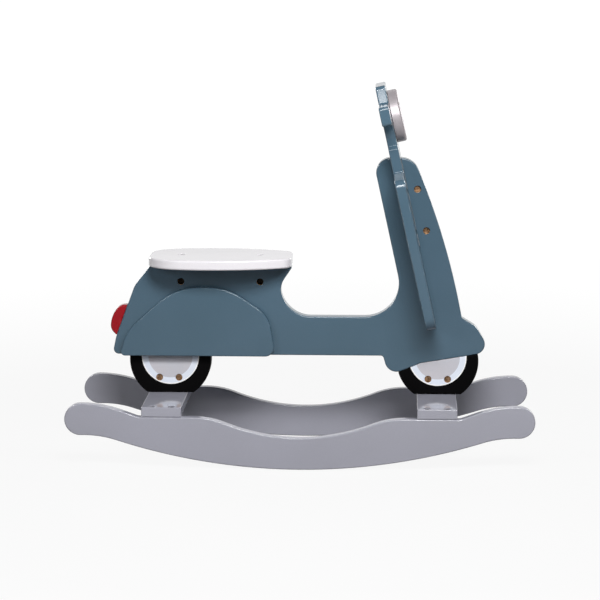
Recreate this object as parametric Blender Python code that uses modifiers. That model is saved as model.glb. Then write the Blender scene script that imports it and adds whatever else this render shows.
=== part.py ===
"""Rocking scooter: a ride-on toy cut from painted boards, standing on two curved rockers.

Metres, +Z up, +X forward. The origin is on the floor, at the middle of the rockers.
The scooter proper is built in a frame of its own, on top of the crossbars (the empty
"scooter"), and its handlebar board in a second frame that leans back (the empty "steering").
"""

import bpy
import bmesh
from math import acos, asin, atan, atan2, ceil, cos, pi, radians, sin, sqrt, tan
from mathutils import Matrix, Vector

# Boards and clearances
BOARD = 0.015
BODY_THICKNESS = 0.022
LIGHT_THICKNESS = 0.016
GAP = 0.0003
EDGE_ROUND = 0.002
SEAT_ROUND = 0.003

# Finest flat on a round outline, and the widest turn of one step
SAGITTA = 0.0002
MAX_STEP = radians(20.0)
SAME_POINT = 1e-5

# Rockers
LENGTH = 0.705
WIDTH = 0.255
ROCK_RADIUS = 0.900
REVERSE_RADIUS = 0.156
END_RADIUS = 0.024
END_FLAT = 0.0065
HUMP_RADIUS = 0.186
HUMP_SLOPE = radians(20.0)
HOLLOW_RADIUS = 0.025
LANDING_DROP = 0.0198
LANDING_MARGIN = 0.0003
LANDING_REACH = 0.0185
SHOULDER_RADIUS = 0.1286
DIP = 0.0302

# Crossbars
CROSSBAR_WIDTH = 0.060
CROSSBAR_ROUND = 0.0015

# Wheels, seen from the top of the crossbars; each stands a little off its crossbar's middle
SCOOTER_SHIFT = 0.002
WHEEL_RADIUS = 0.0626
WHEEL_HEIGHT = 0.0518
REAR_WHEEL_AHEAD = 0.002
FRONT_WHEEL_BACK = 0.0006

# Handlebar board, measured along its own plane from its foot, which stands a little behind
# the front wheel's centre
STEERING_TRAIL = 0.0109
STEERING_Z = 0.1112
LEAN = radians(12.4)
HEAD_TOP = 0.3724
HEAD_TOP_HALF = 0.043
HEAD_BASE_HALF = 0.050
GRIP_TOP = 0.3461
GRIP_THICKNESS = 0.0287
GRIP_HALF = 0.115
NECK_HALF = 0.047
NECK_BOTTOM = 0.281
COLLAR_HALF = 0.0515
COLLAR_TOP = 0.276
SHOULDER_ROOT = 0.2406
SHOULDER_TIP = 0.232
SHOULDER_HALF = 0.0985
SHIELD_BELLY = 0.138
SHIELD_BELLY_HALF = 0.1005
SHIELD_FOOT_HALF = 0.0905
FINGER_ROUND = 0.028
HALVING = 0.1168

# Corner roundings of the handlebar board
HEAD_ROUND = 0.008
HEAD_BASE_ROUND = 0.003
GRIP_ROUND = 0.005
NECK_ROUND = 0.003
SHOULDER_ROOT_ROUND = 0.0015
SHOULDER_ROUND = 0.013
BELLY_ROUND = 0.500
SHIELD_FOOT_ROUND = 0.022

# Body board, seen from the top of the crossbars
SILL = 0.0596
SEAT_REST = 0.1985
FOOT_BOARD = 0.1197
COLUMN_TOP = 0.3642
COLUMN_BACK = 0.0343
COLUMN_FRONT_TOP = 0.0271
COLUMN_BELLY = 0.0507
COLUMN_BELLY_UP = 0.1105
COLUMN_FOOT = 0.0474
COLUMN_FOOT_UP = -0.0022
TAIL_BEND_IN = 0.0055
TAIL_BEND_UP = 0.0266
TAIL_TOP_IN = 0.035
TAIL_TOP_UP = 0.1066
TAIL_OVERHANG = 0.0593
TAIL_TUCK = 0.0012
POST_AHEAD = 0.0029
POST_WAIST_IN = 0.0232
POST_WAIST_DOWN = 0.0344
POST_FOOT_IN = 0.0034

# Corner roundings of the body board
TAIL_FOOT_ROUND = 0.008
TAIL_BEND_ROUND = 0.050
TAIL_TOP_ROUND = 0.040
REST_REAR_ROUND = 0.004
REST_FRONT_ROUND = 0.003
POST_WAIST_ROUND = 0.030
POST_FOOT_ROUND = 0.047
COLUMN_ROOT_ROUND = 0.052
COLUMN_BACK_ROUND = 0.0225
COLUMN_FRONT_ROUND = 0.0287
COLUMN_BELLY_ROUND = 1.118
COLUMN_FOOT_ROUND = 0.004
FENDER_TOP_ROUND = 0.025
FENDER_NOSE_ROUND = 0.0157
FENDER_BEND_ROUND = 0.008
HUMP_ROUND = 0.018
HUMP_BACK_ROUND = 0.005

# Front fender, measured from the front crossbar's middle and the wheels' height
FENDER_RISE = 0.0013
FENDER_SLOPE = radians(9.5)
FENDER_BEND = 0.0265
FENDER_TOP_X = 0.0575
FENDER_TOP_Z = 0.0539
FENDER_NOSE = radians(58.5)
HUMP_X = 0.0755
HUMP_Z = 0.0237
HUMP_BACK = radians(15.4)

# Side cowls, each measured in from its own ends
COWL_LENGTH = 0.240
COWL_HEIGHT = 0.1061
COWL_REACH = 0.1932
COWL_BACK_IN = 0.0106
COWL_BACK_UP = 0.0376
COWL_CROWN_IN = 0.0851
COWL_BROW_IN = 0.075
COWL_NOSE_IN = 0.0116
COWL_NOSE_DOWN = 0.0423
COWL_HEEL_ROUND = 0.006
COWL_BACK_ROUND = 0.070
COWL_CROWN_ROUND = 0.100
COWL_BROW_ROUND = 0.090
COWL_NOSE_ROUND = 0.050
COWL_TOE_ROUND = 0.014

# Seat, whose rear end stands behind the rear wheel's centre
SEAT_BEHIND = 0.0281
SEAT_LENGTH = 0.2167
SEAT_HALF_WIDTH = 0.075
SEAT_END_BULGE = 0.001
SEAT_END_ROUND = 0.200
SEAT_REAR_HALF = 0.038
SEAT_REAR_ROUND = 0.040
SEAT_HIP_IN = 0.027
SEAT_HIP_HALF = 0.066
SEAT_HIP_ROUND = 0.070
SEAT_BROAD_IN = 0.094
SEAT_BROAD_ROUND = 0.300
SEAT_THIGH_IN = 0.0545
SEAT_THIGH_HALF = 0.066
SEAT_THIGH_ROUND = 0.250
SEAT_FRONT_HALF = 0.042
SEAT_FRONT_ROUND = 0.022

# Lights
HEADLIGHT_RADIUS = 0.040
HEADLIGHT_UP = 0.3208
HEADLIGHT_ROUND = 0.004
TAIL_LIGHT_LENGTH = 0.0504
TAIL_LIGHT_DEPTH = 0.0172
TAIL_LIGHT_START = 0.0025
TAIL_LIGHT_LOW_IN = 0.0055
TAIL_LIGHT_LOW_DEPTH = 0.0118
TAIL_LIGHT_HIGH_IN = 0.0049
TAIL_LIGHT_HIGH_DEPTH = 0.0112
TAIL_LIGHT_ROOT_ROUND = 0.001
TAIL_LIGHT_END_ROUND = 0.010
TAIL_LIGHT_BACK_ROUND = 0.030

# Fasteners
BOLT_RADIUS = 0.003
BOLT_HEAD_RADIUS = 0.005
BOLT_HEAD_HEIGHT = 0.005
SOCKET_RADIUS = 0.0029
SOCKET_DEPTH = 0.003
HEAD_RECESS = 0.001
TIP_REACH = 0.007
NUT_RADIUS = 0.005
NUT_RECESS = 0.002
BODY_NUT_RECESS = 0.005
NUT_SLOT_WIDTH = 0.0018
NUT_SLOT_DEPTH = 0.0018
DOWEL_RADIUS = 0.004
DOWEL_DEPTH = 0.015
LIGHT_DOWEL_DEPTH = 0.010
WHEEL_DOWEL_SPREAD = 0.020
BOLT_SPREAD = 0.015
ROCKER_NUT_DROP = 0.022
WHEEL_NUT_HEIGHT = 0.0237
SEAT_NUT_DROP = 0.0253
SEAT_BOLT_REAR = 0.0472
SEAT_BOLT_FRONT = 0.1684
STEERING_NUT_AHEAD = 0.0224
STEERING_NUT_LOW = 0.1407
STEERING_NUT_HIGH = 0.2056
COWL_DOWEL_HEIGHT = 0.050
COWL_DOWEL_INSET = 0.065

# Facets round a fastener or its hole, the turn that keeps the facets of crossing holes from
# lining up, and how far a cutter runs past the wood
FACETS = 12
FACET_TURN = radians(7.0)
PAST = 0.004

# Colours as seen, 0 to 255
BLUE = (84, 106, 120)
GREY = (163, 163, 172)
WHITE = (234, 232, 232)
BLACK = (20, 20, 20)
SILVER = (205, 198, 202)
RED = (150, 28, 36)
BRASS = (176, 140, 84)
STEEL = (60, 60, 62)
BEECH = (196, 160, 116)

# Heights and places that follow from the sizes above
ROCKER_Y = (WIDTH - BOARD) / 2
END_X = LENGTH / 2 - END_RADIUS
REVERSE_X = END_X - END_FLAT
END_BOTTOM = (
    ROCK_RADIUS + REVERSE_RADIUS - sqrt((ROCK_RADIUS + REVERSE_RADIUS) ** 2 - REVERSE_X**2)
)
END_TOP = END_BOTTOM + 2 * END_RADIUS
LANDING = END_TOP - LANDING_DROP
HUMP_BENDS = HUMP_RADIUS + HOLLOW_RADIUS
HUMP_STRAIGHT = (LANDING_DROP - HUMP_BENDS * (1 - cos(HUMP_SLOPE))) / sin(HUMP_SLOPE)
LANDING_OUTER = END_X - HUMP_BENDS * sin(HUMP_SLOPE) - HUMP_STRAIGHT * cos(HUMP_SLOPE)
CROSSBAR_X = LANDING_OUTER - LANDING_MARGIN - CROSSBAR_WIDTH / 2
LANDING_INNER = CROSSBAR_X - CROSSBAR_WIDTH / 2 - LANDING_REACH
CROSSBAR_Z = LANDING + GAP + BOARD / 2
CROSSBAR_TOP = LANDING + GAP + BOARD
STEERING_X = CROSSBAR_X - STEERING_TRAIL
SEAT_REAR_X = -CROSSBAR_X - SEAT_BEHIND
COWL_FRONT_X = SEAT_REAR_X + COWL_REACH


def srgb(colour):
    """Linear colour of an 0 to 255 screen colour."""
    return [((level / 255 + 0.055) / 1.055) ** 2.4 for level in colour] + [1.0]


def material(name, colour, roughness, metallic=0.0):
    """Principled material, made once and shared by the pieces of that finish."""
    found = bpy.data.materials.get(name)
    if found:
        return found
    made = bpy.data.materials.new(name)
    made.use_nodes = True
    shader = made.node_tree.nodes["Principled BSDF"]
    shader.inputs["Base Color"].default_value = srgb(colour)
    shader.inputs["Roughness"].default_value = roughness
    shader.inputs["Metallic"].default_value = metallic
    made.diffuse_color = srgb(colour)
    return made


def finishes():
    """The toy's materials by name."""
    return {
        "blue_paint": material("blue_paint", BLUE, 0.4),
        "grey_paint": material("grey_paint", GREY, 0.4),
        "white_paint": material("white_paint", WHITE, 0.35),
        "black_paint": material("black_paint", BLACK, 0.45),
        "silver_paint": material("silver_paint", SILVER, 0.35, 0.3),
        "red_paint": material("red_paint", RED, 0.3),
        "brass": material("brass", BRASS, 0.35, 1.0),
        "steel": material("steel", STEEL, 0.35, 1.0),
        "dowel_wood": material("dowel_wood", BEECH, 0.6),
    }


def arc(centre, radius, start, end):
    """Points of an arc between two angles, in steps that keep near the true curve."""
    step = min(MAX_STEP, 2 * acos(1 - min(1.0, SAGITTA / radius)))
    count = max(1, ceil(abs(end - start) / step))
    angles = [start + (end - start) * i / count for i in range(count + 1)]
    return [Vector((centre[0] + radius * cos(a), centre[1] + radius * sin(a))) for a in angles]


def rounded(corners):
    """Closed outline through corners (u, v, rounding), each rounded by a tangent arc.

    An arc is made smaller where its tangents would run past the middle ground of an edge.
    """
    places = [Vector(corner[:2]) for corner in corners]
    count = len(places)
    edges = [places[(i + 1) % count] - places[i] for i in range(count)]
    ahead = [edge.normalized() for edge in edges]
    turns = [atan2(ahead[i - 1].cross(ahead[i]), ahead[i - 1].dot(ahead[i])) for i in range(count)]
    reach = [corner[2] * abs(tan(turn / 2)) for corner, turn in zip(corners, turns)]
    used = [reach[i] + reach[(i + 1) % count] for i in range(count)]
    share = [min(1.0, edge.length / total) for edge, total in zip(edges, used)]
    outline = []
    for i in range(count):
        tangent = reach[i] * min(share[i - 1], share[i])
        radius = tangent / abs(tan(turns[i] / 2))
        left = Vector((-ahead[i - 1].y, ahead[i - 1].x))
        inward = left if turns[i] > 0 else -left
        centre = places[i] - ahead[i - 1] * tangent + inward * radius
        first = atan2(-inward.y, -inward.x)
        for point in arc(centre, radius, first, first + turns[i]):
            if not outline or (point - outline[-1]).length > SAME_POINT:
                outline.append(point)
    return outline


def mirrored(half):
    """Whole outline from its half at positive u, which starts and ends on the centre line."""
    return half + [Vector((-u, v)) for u, v in reversed(half) if abs(u) > 1e-6]


def collections():
    """The collection of the toy's pieces, and the one of its cutters."""
    pieces = bpy.data.collections.new("rocking_scooter")
    tools = bpy.data.collections.new("cutters")
    bpy.context.scene.collection.children.link(pieces)
    bpy.context.scene.collection.children.link(tools)
    tools.hide_render = True
    return pieces, tools


def empty(name, location, parent=None, turn=(0, 0, 0)):
    """Empty that carries a frame of its own."""
    made = bpy.data.objects.new(name, None)
    PIECES.objects.link(made)
    made.parent = parent
    made.location = location
    made.rotation_euler = turn
    made.empty_display_size = BOARD
    return made


def piece(name, mesh, finish, parent=None, location=(0, 0, 0), turn=(0, 0, 0)):
    """Named object of the toy, with its material."""
    made = bpy.data.objects.new(name, mesh)
    PIECES.objects.link(made)
    made.parent = parent
    made.location = location
    made.rotation_euler = turn
    if not mesh.materials:
        mesh.materials.append(FINISHES[finish])
    mesh.shade_smooth()
    mesh.set_sharp_from_angle(angle=radians(30))
    return made


def plate(name, outline, thickness):
    """Mesh of a flat board: a filled curve, extruded both ways, made one closed solid."""
    curve = bpy.data.curves.new(name, "CURVE")
    curve.dimensions = "2D"
    curve.fill_mode = "BOTH"
    curve.extrude = thickness / 2
    spline = curve.splines.new("POLY")
    spline.points.add(len(outline) - 1)
    for point, place in zip(spline.points, outline):
        point.co = (place[0], place[1], 0, 1)
    spline.use_cyclic_u = True
    sketch = bpy.data.objects.new(name, curve)
    PIECES.objects.link(sketch)
    bpy.context.view_layer.update()
    evaluated = sketch.evaluated_get(bpy.context.evaluated_depsgraph_get())
    mesh = bpy.data.meshes.new_from_object(evaluated)
    bpy.data.objects.remove(sketch)
    bpy.data.curves.remove(curve)
    shape = bmesh.new()
    shape.from_mesh(mesh)
    bmesh.ops.remove_doubles(shape, verts=shape.verts, dist=1e-6)
    for side in (-1, 1):
        flat = [face for face in shape.faces if all(vert.co.z * side > 0 for vert in face.verts)]
        bmesh.ops.dissolve_faces(shape, faces=flat)
    bmesh.ops.recalc_face_normals(shape, faces=shape.faces)
    shape.to_mesh(mesh)
    shape.free()
    mesh.name = name
    return mesh


def soften(made, width, segments=1):
    """Round the piece's edges all around, before any hole is cut."""
    bevel = made.modifiers.new("rounded_edges", "BEVEL")
    bevel.width = width
    bevel.segments = segments
    bevel.limit_method = "ANGLE"
    bevel.angle_limit = radians(50)
    bevel.use_clamp_overlap = False


def upright(name, outline, thickness, finish, parent=None, location=(0, 0, 0)):
    """Board that stands along the toy: its outline's u is forward and its v is up."""
    return piece(name, plate(name, outline, thickness), finish, parent, location, (pi / 2, 0, 0))


def cylinder(name, radius, length, facets=FACETS):
    """Plain cylinder along Z, centred."""
    mesh = bpy.data.meshes.new(name)
    shape = bmesh.new()
    bmesh.ops.create_cone(
        shape, cap_ends=True, segments=facets, radius1=radius, radius2=radius, depth=length
    )
    shape.to_mesh(mesh)
    shape.free()
    return mesh


def cuboid(name, size):
    """Plain box, centred."""
    mesh = bpy.data.meshes.new(name)
    shape = bmesh.new()
    bmesh.ops.create_cube(shape, size=1.0)
    bmesh.ops.scale(shape, vec=size, verts=shape.verts)
    shape.to_mesh(mesh)
    shape.free()
    return mesh


def cut(cutter, targets):
    """Take the cutter's shape away from each target."""
    TOOLS.objects.link(cutter)
    cutter.hide_render = True
    cutter.display_type = "WIRE"
    for target in targets:
        boolean = target.modifiers.new(cutter.name, "BOOLEAN")
        boolean.operation = "DIFFERENCE"
        boolean.solver = "EXACT"
        boolean.object = cutter


def drill(name, radius, start, end, targets, parent=None):
    """Round hole from start to end, both given in the parent's frame."""
    run = Vector(end) - Vector(start)
    mesh = cylinder(name, radius, run.length)
    mesh.transform(Matrix.Rotation(FACET_TURN, 4, "Z"))
    cutter = bpy.data.objects.new(name, mesh)
    cutter.parent = parent
    cutter.location = (Vector(start) + Vector(end)) / 2
    cutter.rotation_euler = run.to_track_quat("Z", "Y").to_euler()
    cut(cutter, targets)


def finished_mesh(name, made):
    """Mesh of an object with its modifiers applied; the object is removed."""
    bpy.context.view_layer.update()
    evaluated = made.evaluated_get(bpy.context.evaluated_depsgraph_get())
    mesh = bpy.data.meshes.new_from_object(evaluated)
    mesh.name = name
    bpy.data.objects.remove(made)
    return mesh


def turned(name, profile):
    """Object whose profile of (radius, height) points, top first, is turned around Z."""
    mesh = bpy.data.meshes.new(name)
    edges = [(i, i + 1) for i in range(len(profile) - 1)]
    mesh.from_pydata([(radius, 0, height) for radius, height in profile], edges, [])
    made = bpy.data.objects.new(name, mesh)
    PIECES.objects.link(made)
    screw = made.modifiers.new("turning", "SCREW")
    screw.steps = FACETS
    screw.render_steps = FACETS
    screw.use_merge_vertices = True
    screw.merge_threshold = 1e-5
    return made


def bolt_mesh(name, length):
    """Socket bolt with its head up; the underside of the head is at zero."""
    profile = [
        (0, BOLT_HEAD_HEIGHT),
        (BOLT_HEAD_RADIUS, BOLT_HEAD_HEIGHT),
        (BOLT_HEAD_RADIUS, 0),
        (BOLT_RADIUS, 0),
        (BOLT_RADIUS, -length),
        (0, -length),
    ]
    made = turned(name, profile)
    socket = bpy.data.objects.new(name + "_socket", cylinder(name, SOCKET_RADIUS, 2 * SOCKET_DEPTH, 6))
    socket.location = (0, 0, BOLT_HEAD_HEIGHT)
    cut(socket, [made])
    return finished_mesh(name, made)


def nut_mesh(name, length):
    """Barrel nut along Y, with its bolt's bore along Z and a slot across its -Y end."""
    mesh = cylinder(name, NUT_RADIUS, length)
    mesh.transform(Matrix.Rotation(pi / 2, 4, "X"))
    made = bpy.data.objects.new(name, mesh)
    PIECES.objects.link(made)
    beyond = NUT_RADIUS + PAST
    drill(name + "_bore", BOLT_RADIUS + GAP, (0, 0, -beyond), (0, 0, beyond), [made])
    size = (NUT_SLOT_WIDTH, 2 * NUT_SLOT_DEPTH, 2 * beyond)
    slot = bpy.data.objects.new(name + "_slot", cuboid(name + "_slot", size))
    slot.location = (0, -length / 2, 0)
    cut(slot, [made])
    return finished_mesh(name, made)


for old in list(bpy.data.objects):
    bpy.data.objects.remove(old)
PIECES, TOOLS = collections()
FINISHES = finishes()
SCOOTER = empty("scooter", (SCOOTER_SHIFT, 0, CROSSBAR_TOP))
STEERING = empty("steering", (STEERING_X, 0, STEERING_Z), SCOOTER, (0, -LEAN, 0))


def rocker_outline():
    """Rocker's side view: rocking edge, blunt ends, and a top with two landings and a dip."""
    tilt = asin(REVERSE_X / (ROCK_RADIUS + REVERSE_RADIUS))
    dip_turn = 2 * atan(DIP / LANDING_INNER)
    dip_radius = LANDING_INNER / sin(dip_turn) - SHOULDER_RADIUS
    up = pi / 2
    half = arc((0, ROCK_RADIUS), ROCK_RADIUS, -up, tilt - up)
    half += arc((REVERSE_X, END_BOTTOM - REVERSE_RADIUS), REVERSE_RADIUS, up + tilt, up)[1:]
    half += arc((END_X, END_BOTTOM + END_RADIUS), END_RADIUS, -up, 0)
    half += arc((END_X, END_BOTTOM + END_RADIUS), END_RADIUS, 0, up)[1:]
    half += arc((END_X, END_TOP - HUMP_RADIUS), HUMP_RADIUS, up, up + HUMP_SLOPE)[1:]
    half += arc((LANDING_OUTER, LANDING + HOLLOW_RADIUS), HOLLOW_RADIUS, HUMP_SLOPE - up, -up)
    half += arc((LANDING_INNER, LANDING - SHOULDER_RADIUS), SHOULDER_RADIUS, up, up + dip_turn)
    half += arc((0, LANDING - DIP + dip_radius), dip_radius, dip_turn - up, -up)[1:]
    return mirrored(half)


def steering_to_scooter(ahead, along):
    """Place in the scooter's side view of a point ahead of the handlebar board's middle plane."""
    return (
        STEERING_X + ahead * cos(LEAN) - along * sin(LEAN),
        STEERING_Z + ahead * sin(LEAN) + along * cos(LEAN),
    )


def on_steering_line(ahead, height):
    """Point at a height on the line that runs parallel to the handlebar board."""
    along = (height - STEERING_Z - ahead * sin(LEAN)) / cos(LEAN)
    return steering_to_scooter(ahead, along)


def fender_edge():
    """Lower edge of the front fender: its nose, its bend and the hump behind the wheel."""
    wheel_x = CROSSBAR_X
    top = (wheel_x + FENDER_TOP_X, WHEEL_HEIGHT + FENDER_TOP_Z)
    line_z = WHEEL_HEIGHT + FENDER_RISE
    rise = tan(FENDER_SLOPE)
    run = (top[1] - line_z - rise * (top[0] - wheel_x)) / (rise + tan(FENDER_NOSE))
    nose = (top[0] + run, line_z + rise * (top[0] + run - wheel_x))
    bend = (wheel_x - FENDER_BEND, line_z - rise * FENDER_BEND)
    hump = (wheel_x - HUMP_X, WHEEL_HEIGHT - HUMP_Z)
    return top, nose, bend, hump


def tail_edge():
    """Straight rear edge of the tail, from its bend up to its top corner."""
    foot = SEAT_REAR_X - TAIL_OVERHANG
    bend = Vector((foot + TAIL_BEND_IN, SILL + TAIL_BEND_UP))
    top = Vector((foot + TAIL_TOP_IN, SILL + TAIL_TOP_UP))
    return bend, top


def body_outline():
    """Side view of the body board, from the tail's foot over the top and back underneath."""
    tail_bend, tail_top = tail_edge()
    fender_top, nose, bend, hump = fender_edge()
    post_x = SEAT_REAR_X + SEAT_LENGTH + POST_AHEAD
    hump_back = (hump[0] - (SILL - hump[1]) * tan(HUMP_BACK), SILL)
    corners = [
        (SEAT_REAR_X - TAIL_OVERHANG, SILL, TAIL_FOOT_ROUND),
        (*tail_bend, TAIL_BEND_ROUND),
        (*tail_top, TAIL_TOP_ROUND),
        (SEAT_REAR_X + TAIL_TUCK, SEAT_REST, REST_REAR_ROUND),
        (post_x, SEAT_REST, REST_FRONT_ROUND),
        (post_x - POST_WAIST_IN, SEAT_REST - POST_WAIST_DOWN, POST_WAIST_ROUND),
        (post_x - POST_FOOT_IN, FOOT_BOARD, POST_FOOT_ROUND),
        (*on_steering_line(-COLUMN_BACK, FOOT_BOARD), COLUMN_ROOT_ROUND),
        (*on_steering_line(-COLUMN_BACK, COLUMN_TOP), COLUMN_BACK_ROUND),
        (*on_steering_line(COLUMN_FRONT_TOP, COLUMN_TOP), COLUMN_FRONT_ROUND),
        (*steering_to_scooter(COLUMN_BELLY, COLUMN_BELLY_UP), COLUMN_BELLY_ROUND),
        (*steering_to_scooter(COLUMN_FOOT, COLUMN_FOOT_UP), COLUMN_FOOT_ROUND),
        (*fender_top, FENDER_TOP_ROUND),
        (*nose, FENDER_NOSE_ROUND),
        (*bend, FENDER_BEND_ROUND),
        (*hump, HUMP_ROUND),
        (*hump_back, HUMP_BACK_ROUND),
    ]
    return rounded(corners)


def cowl_outline():
    """Side view of a cowl: flat below, with a long back and a steep front."""
    front = COWL_FRONT_X
    rear = front - COWL_LENGTH
    top = SILL + COWL_HEIGHT
    corners = [
        (rear, SILL, COWL_HEEL_ROUND),
        (rear + COWL_BACK_IN, SILL + COWL_BACK_UP, COWL_BACK_ROUND),
        (rear + COWL_CROWN_IN, top, COWL_CROWN_ROUND),
        (front - COWL_BROW_IN, top, COWL_BROW_ROUND),
        (front - COWL_NOSE_IN, top - COWL_NOSE_DOWN, COWL_NOSE_ROUND),
        (front, SILL, COWL_TOE_ROUND),
    ]
    return rounded(corners)


def seat_outline():
    """Plan of the seat: broad in the middle, narrow in front; u is forward."""
    rear = SEAT_REAR_X
    front = SEAT_REAR_X + SEAT_LENGTH
    half = [
        (rear - SEAT_END_BULGE / 2, SEAT_REAR_HALF, SEAT_REAR_ROUND),
        (rear + SEAT_HIP_IN, SEAT_HIP_HALF, SEAT_HIP_ROUND),
        (rear + SEAT_BROAD_IN, SEAT_HALF_WIDTH, SEAT_BROAD_ROUND),
        (front - SEAT_THIGH_IN, SEAT_THIGH_HALF, SEAT_THIGH_ROUND),
        (front + SEAT_END_BULGE / 2, SEAT_FRONT_HALF, SEAT_FRONT_ROUND),
    ]
    corners = [(rear - SEAT_END_BULGE, 0, SEAT_END_ROUND)] + half
    corners += [(front + SEAT_END_BULGE, 0, SEAT_END_ROUND)]
    corners += [(u, -v, rounding) for u, v, rounding in reversed(half)]
    return rounded(corners)


def handlebar_outline():
    """Front view of the handlebar board: head, grips, neck and leg shield."""
    grip_bottom = GRIP_TOP - GRIP_THICKNESS
    half = [
        (HEAD_TOP_HALF, HEAD_TOP, HEAD_ROUND),
        (HEAD_BASE_HALF, GRIP_TOP, HEAD_BASE_ROUND),
        (GRIP_HALF, GRIP_TOP, GRIP_ROUND),
        (GRIP_HALF, grip_bottom, GRIP_ROUND),
        (NECK_HALF, grip_bottom, FINGER_ROUND),
        (NECK_HALF, NECK_BOTTOM, NECK_ROUND),
        (COLLAR_HALF, COLLAR_TOP, NECK_ROUND),
        (COLLAR_HALF, SHOULDER_ROOT, SHOULDER_ROOT_ROUND),
        (SHOULDER_HALF, SHOULDER_TIP, SHOULDER_ROUND),
        (SHIELD_BELLY_HALF, SHIELD_BELLY, BELLY_ROUND),
        (SHIELD_FOOT_HALF, 0, SHIELD_FOOT_ROUND),
    ]
    corners = half + [(-u, v, rounding) for u, v, rounding in reversed(half)]
    return rounded(corners)


def tail_light_outline():
    """Bulge of the tail light; u is along the tail's edge and v is out of it."""
    corners = [
        (0, GAP, TAIL_LIGHT_ROOT_ROUND),
        (TAIL_LIGHT_LOW_IN, TAIL_LIGHT_LOW_DEPTH, TAIL_LIGHT_END_ROUND),
        (TAIL_LIGHT_LENGTH / 2, TAIL_LIGHT_DEPTH, TAIL_LIGHT_BACK_ROUND),
        (TAIL_LIGHT_LENGTH - TAIL_LIGHT_HIGH_IN, TAIL_LIGHT_HIGH_DEPTH, TAIL_LIGHT_END_ROUND),
        (TAIL_LIGHT_LENGTH, GAP, TAIL_LIGHT_ROOT_ROUND),
    ]
    return rounded(corners)


def rockers():
    """The two rockers, right one first."""
    made = []
    for side, y in (("right", -ROCKER_Y), ("left", ROCKER_Y)):
        rocker = upright("rocker_" + side, rocker_outline(), BOARD, "grey_paint", None, (0, y, 0))
        soften(rocker, EDGE_ROUND)
        made.append(rocker)
    return made


def crossbars():
    """The two crossbars, rear one first, resting on the rockers' landings."""
    made = []
    size = (CROSSBAR_WIDTH, WIDTH, BOARD)
    for end, x in (("rear", -CROSSBAR_X), ("front", CROSSBAR_X)):
        name = "crossbar_" + end
        bar = piece(name, cuboid(name, size), "grey_paint", None, (x, 0, CROSSBAR_Z))
        soften(bar, CROSSBAR_ROUND)
        made.append(bar)
    return made


def wheel_outline():
    """Round wheel with a flat below, where it stands on its crossbar, and a flat at its middle."""
    foot = asin((WHEEL_HEIGHT - GAP) / WHEEL_RADIUS)
    return arc((0, WHEEL_HEIGHT), WHEEL_RADIUS, -foot, pi + foot)


def wheels():
    """The two wheel boards: each lower part of a wheel, cut off along the body's lower edge."""
    made = []
    rear_x = REAR_WHEEL_AHEAD - CROSSBAR_X
    front_x = CROSSBAR_X - FRONT_WHEEL_BACK
    for end, x in (("rear", rear_x), ("front", front_x)):
        name = "wheel_" + end
        wheel = upright(name, wheel_outline(), BODY_THICKNESS, "black_paint", SCOOTER, (x, 0, 0))
        soften(wheel, EDGE_ROUND / 2)
        made.append(wheel)
    fender_top, nose, bend, hump = fender_edge()
    above = 2 * WHEEL_RADIUS + PAST
    reach = WHEEL_RADIUS + PAST
    rear_edge = [(rear_x - reach, SILL), (rear_x + reach, SILL)]
    for wheel, edge in zip(made, (rear_edge, [hump, bend, nose])):
        corners = [Vector((x, z - GAP)) for x, z in edge]
        corners += [Vector((corners[-1].x, above)), Vector((corners[0].x, above))]
        name = wheel.name + "_seat"
        cutter = bpy.data.objects.new(name, plate(name, corners, 2 * BODY_THICKNESS))
        cutter.parent = SCOOTER
        cutter.rotation_euler = (pi / 2, 0, 0)
        cut(cutter, [wheel])
    return made


def body_board():
    """Tail, foot board, column and fender in one board, slotted for the handlebar board."""
    body = upright("body_board", body_outline(), BODY_THICKNESS, "blue_paint", SCOOTER)
    soften(body, EDGE_ROUND)
    bottom = HALVING + GAP / 2
    top = HEAD_TOP
    size = (BOARD + 2 * GAP, 2 * BODY_THICKNESS, top - bottom)
    slot = bpy.data.objects.new("column_slot", cuboid("column_slot", size))
    slot.parent = STEERING
    slot.location = (0, 0, (top + bottom) / 2)
    cut(slot, [body])
    return body


def handlebar_board():
    """Handlebar head, grips and leg shield in one leaning board, forked over the body board."""
    name = "handlebar_board"
    mesh = plate(name, handlebar_outline(), BOARD)
    board = piece(name, mesh, "blue_paint", STEERING, (0, 0, 0), (pi / 2, 0, pi / 2))
    soften(board, EDGE_ROUND)
    top = HALVING + GAP * 3 / 2
    size = (2 * BOARD, BODY_THICKNESS + 2 * GAP, top + PAST)
    slot = bpy.data.objects.new("shield_slot", cuboid("shield_slot", size))
    slot.parent = STEERING
    slot.location = (0, 0, (top - PAST) / 2)
    cut(slot, [board])
    return board


def cowls():
    """The two side cowls, right one first."""
    made = []
    offset = (BODY_THICKNESS + BOARD) / 2 + GAP
    for side, y in (("right", -offset), ("left", offset)):
        cowl = upright("cowl_" + side, cowl_outline(), BOARD, "blue_paint", SCOOTER, (0, y, 0))
        soften(cowl, EDGE_ROUND)
        made.append(cowl)
    return made


def seat_board():
    """Seat, flat on the body board's top."""
    mesh = plate("seat_board", seat_outline(), BOARD)
    place = (0, 0, SEAT_REST + GAP + BOARD / 2)
    seat = piece("seat_board", mesh, "white_paint", SCOOTER, place)
    soften(seat, SEAT_ROUND, 2)
    return seat


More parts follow.
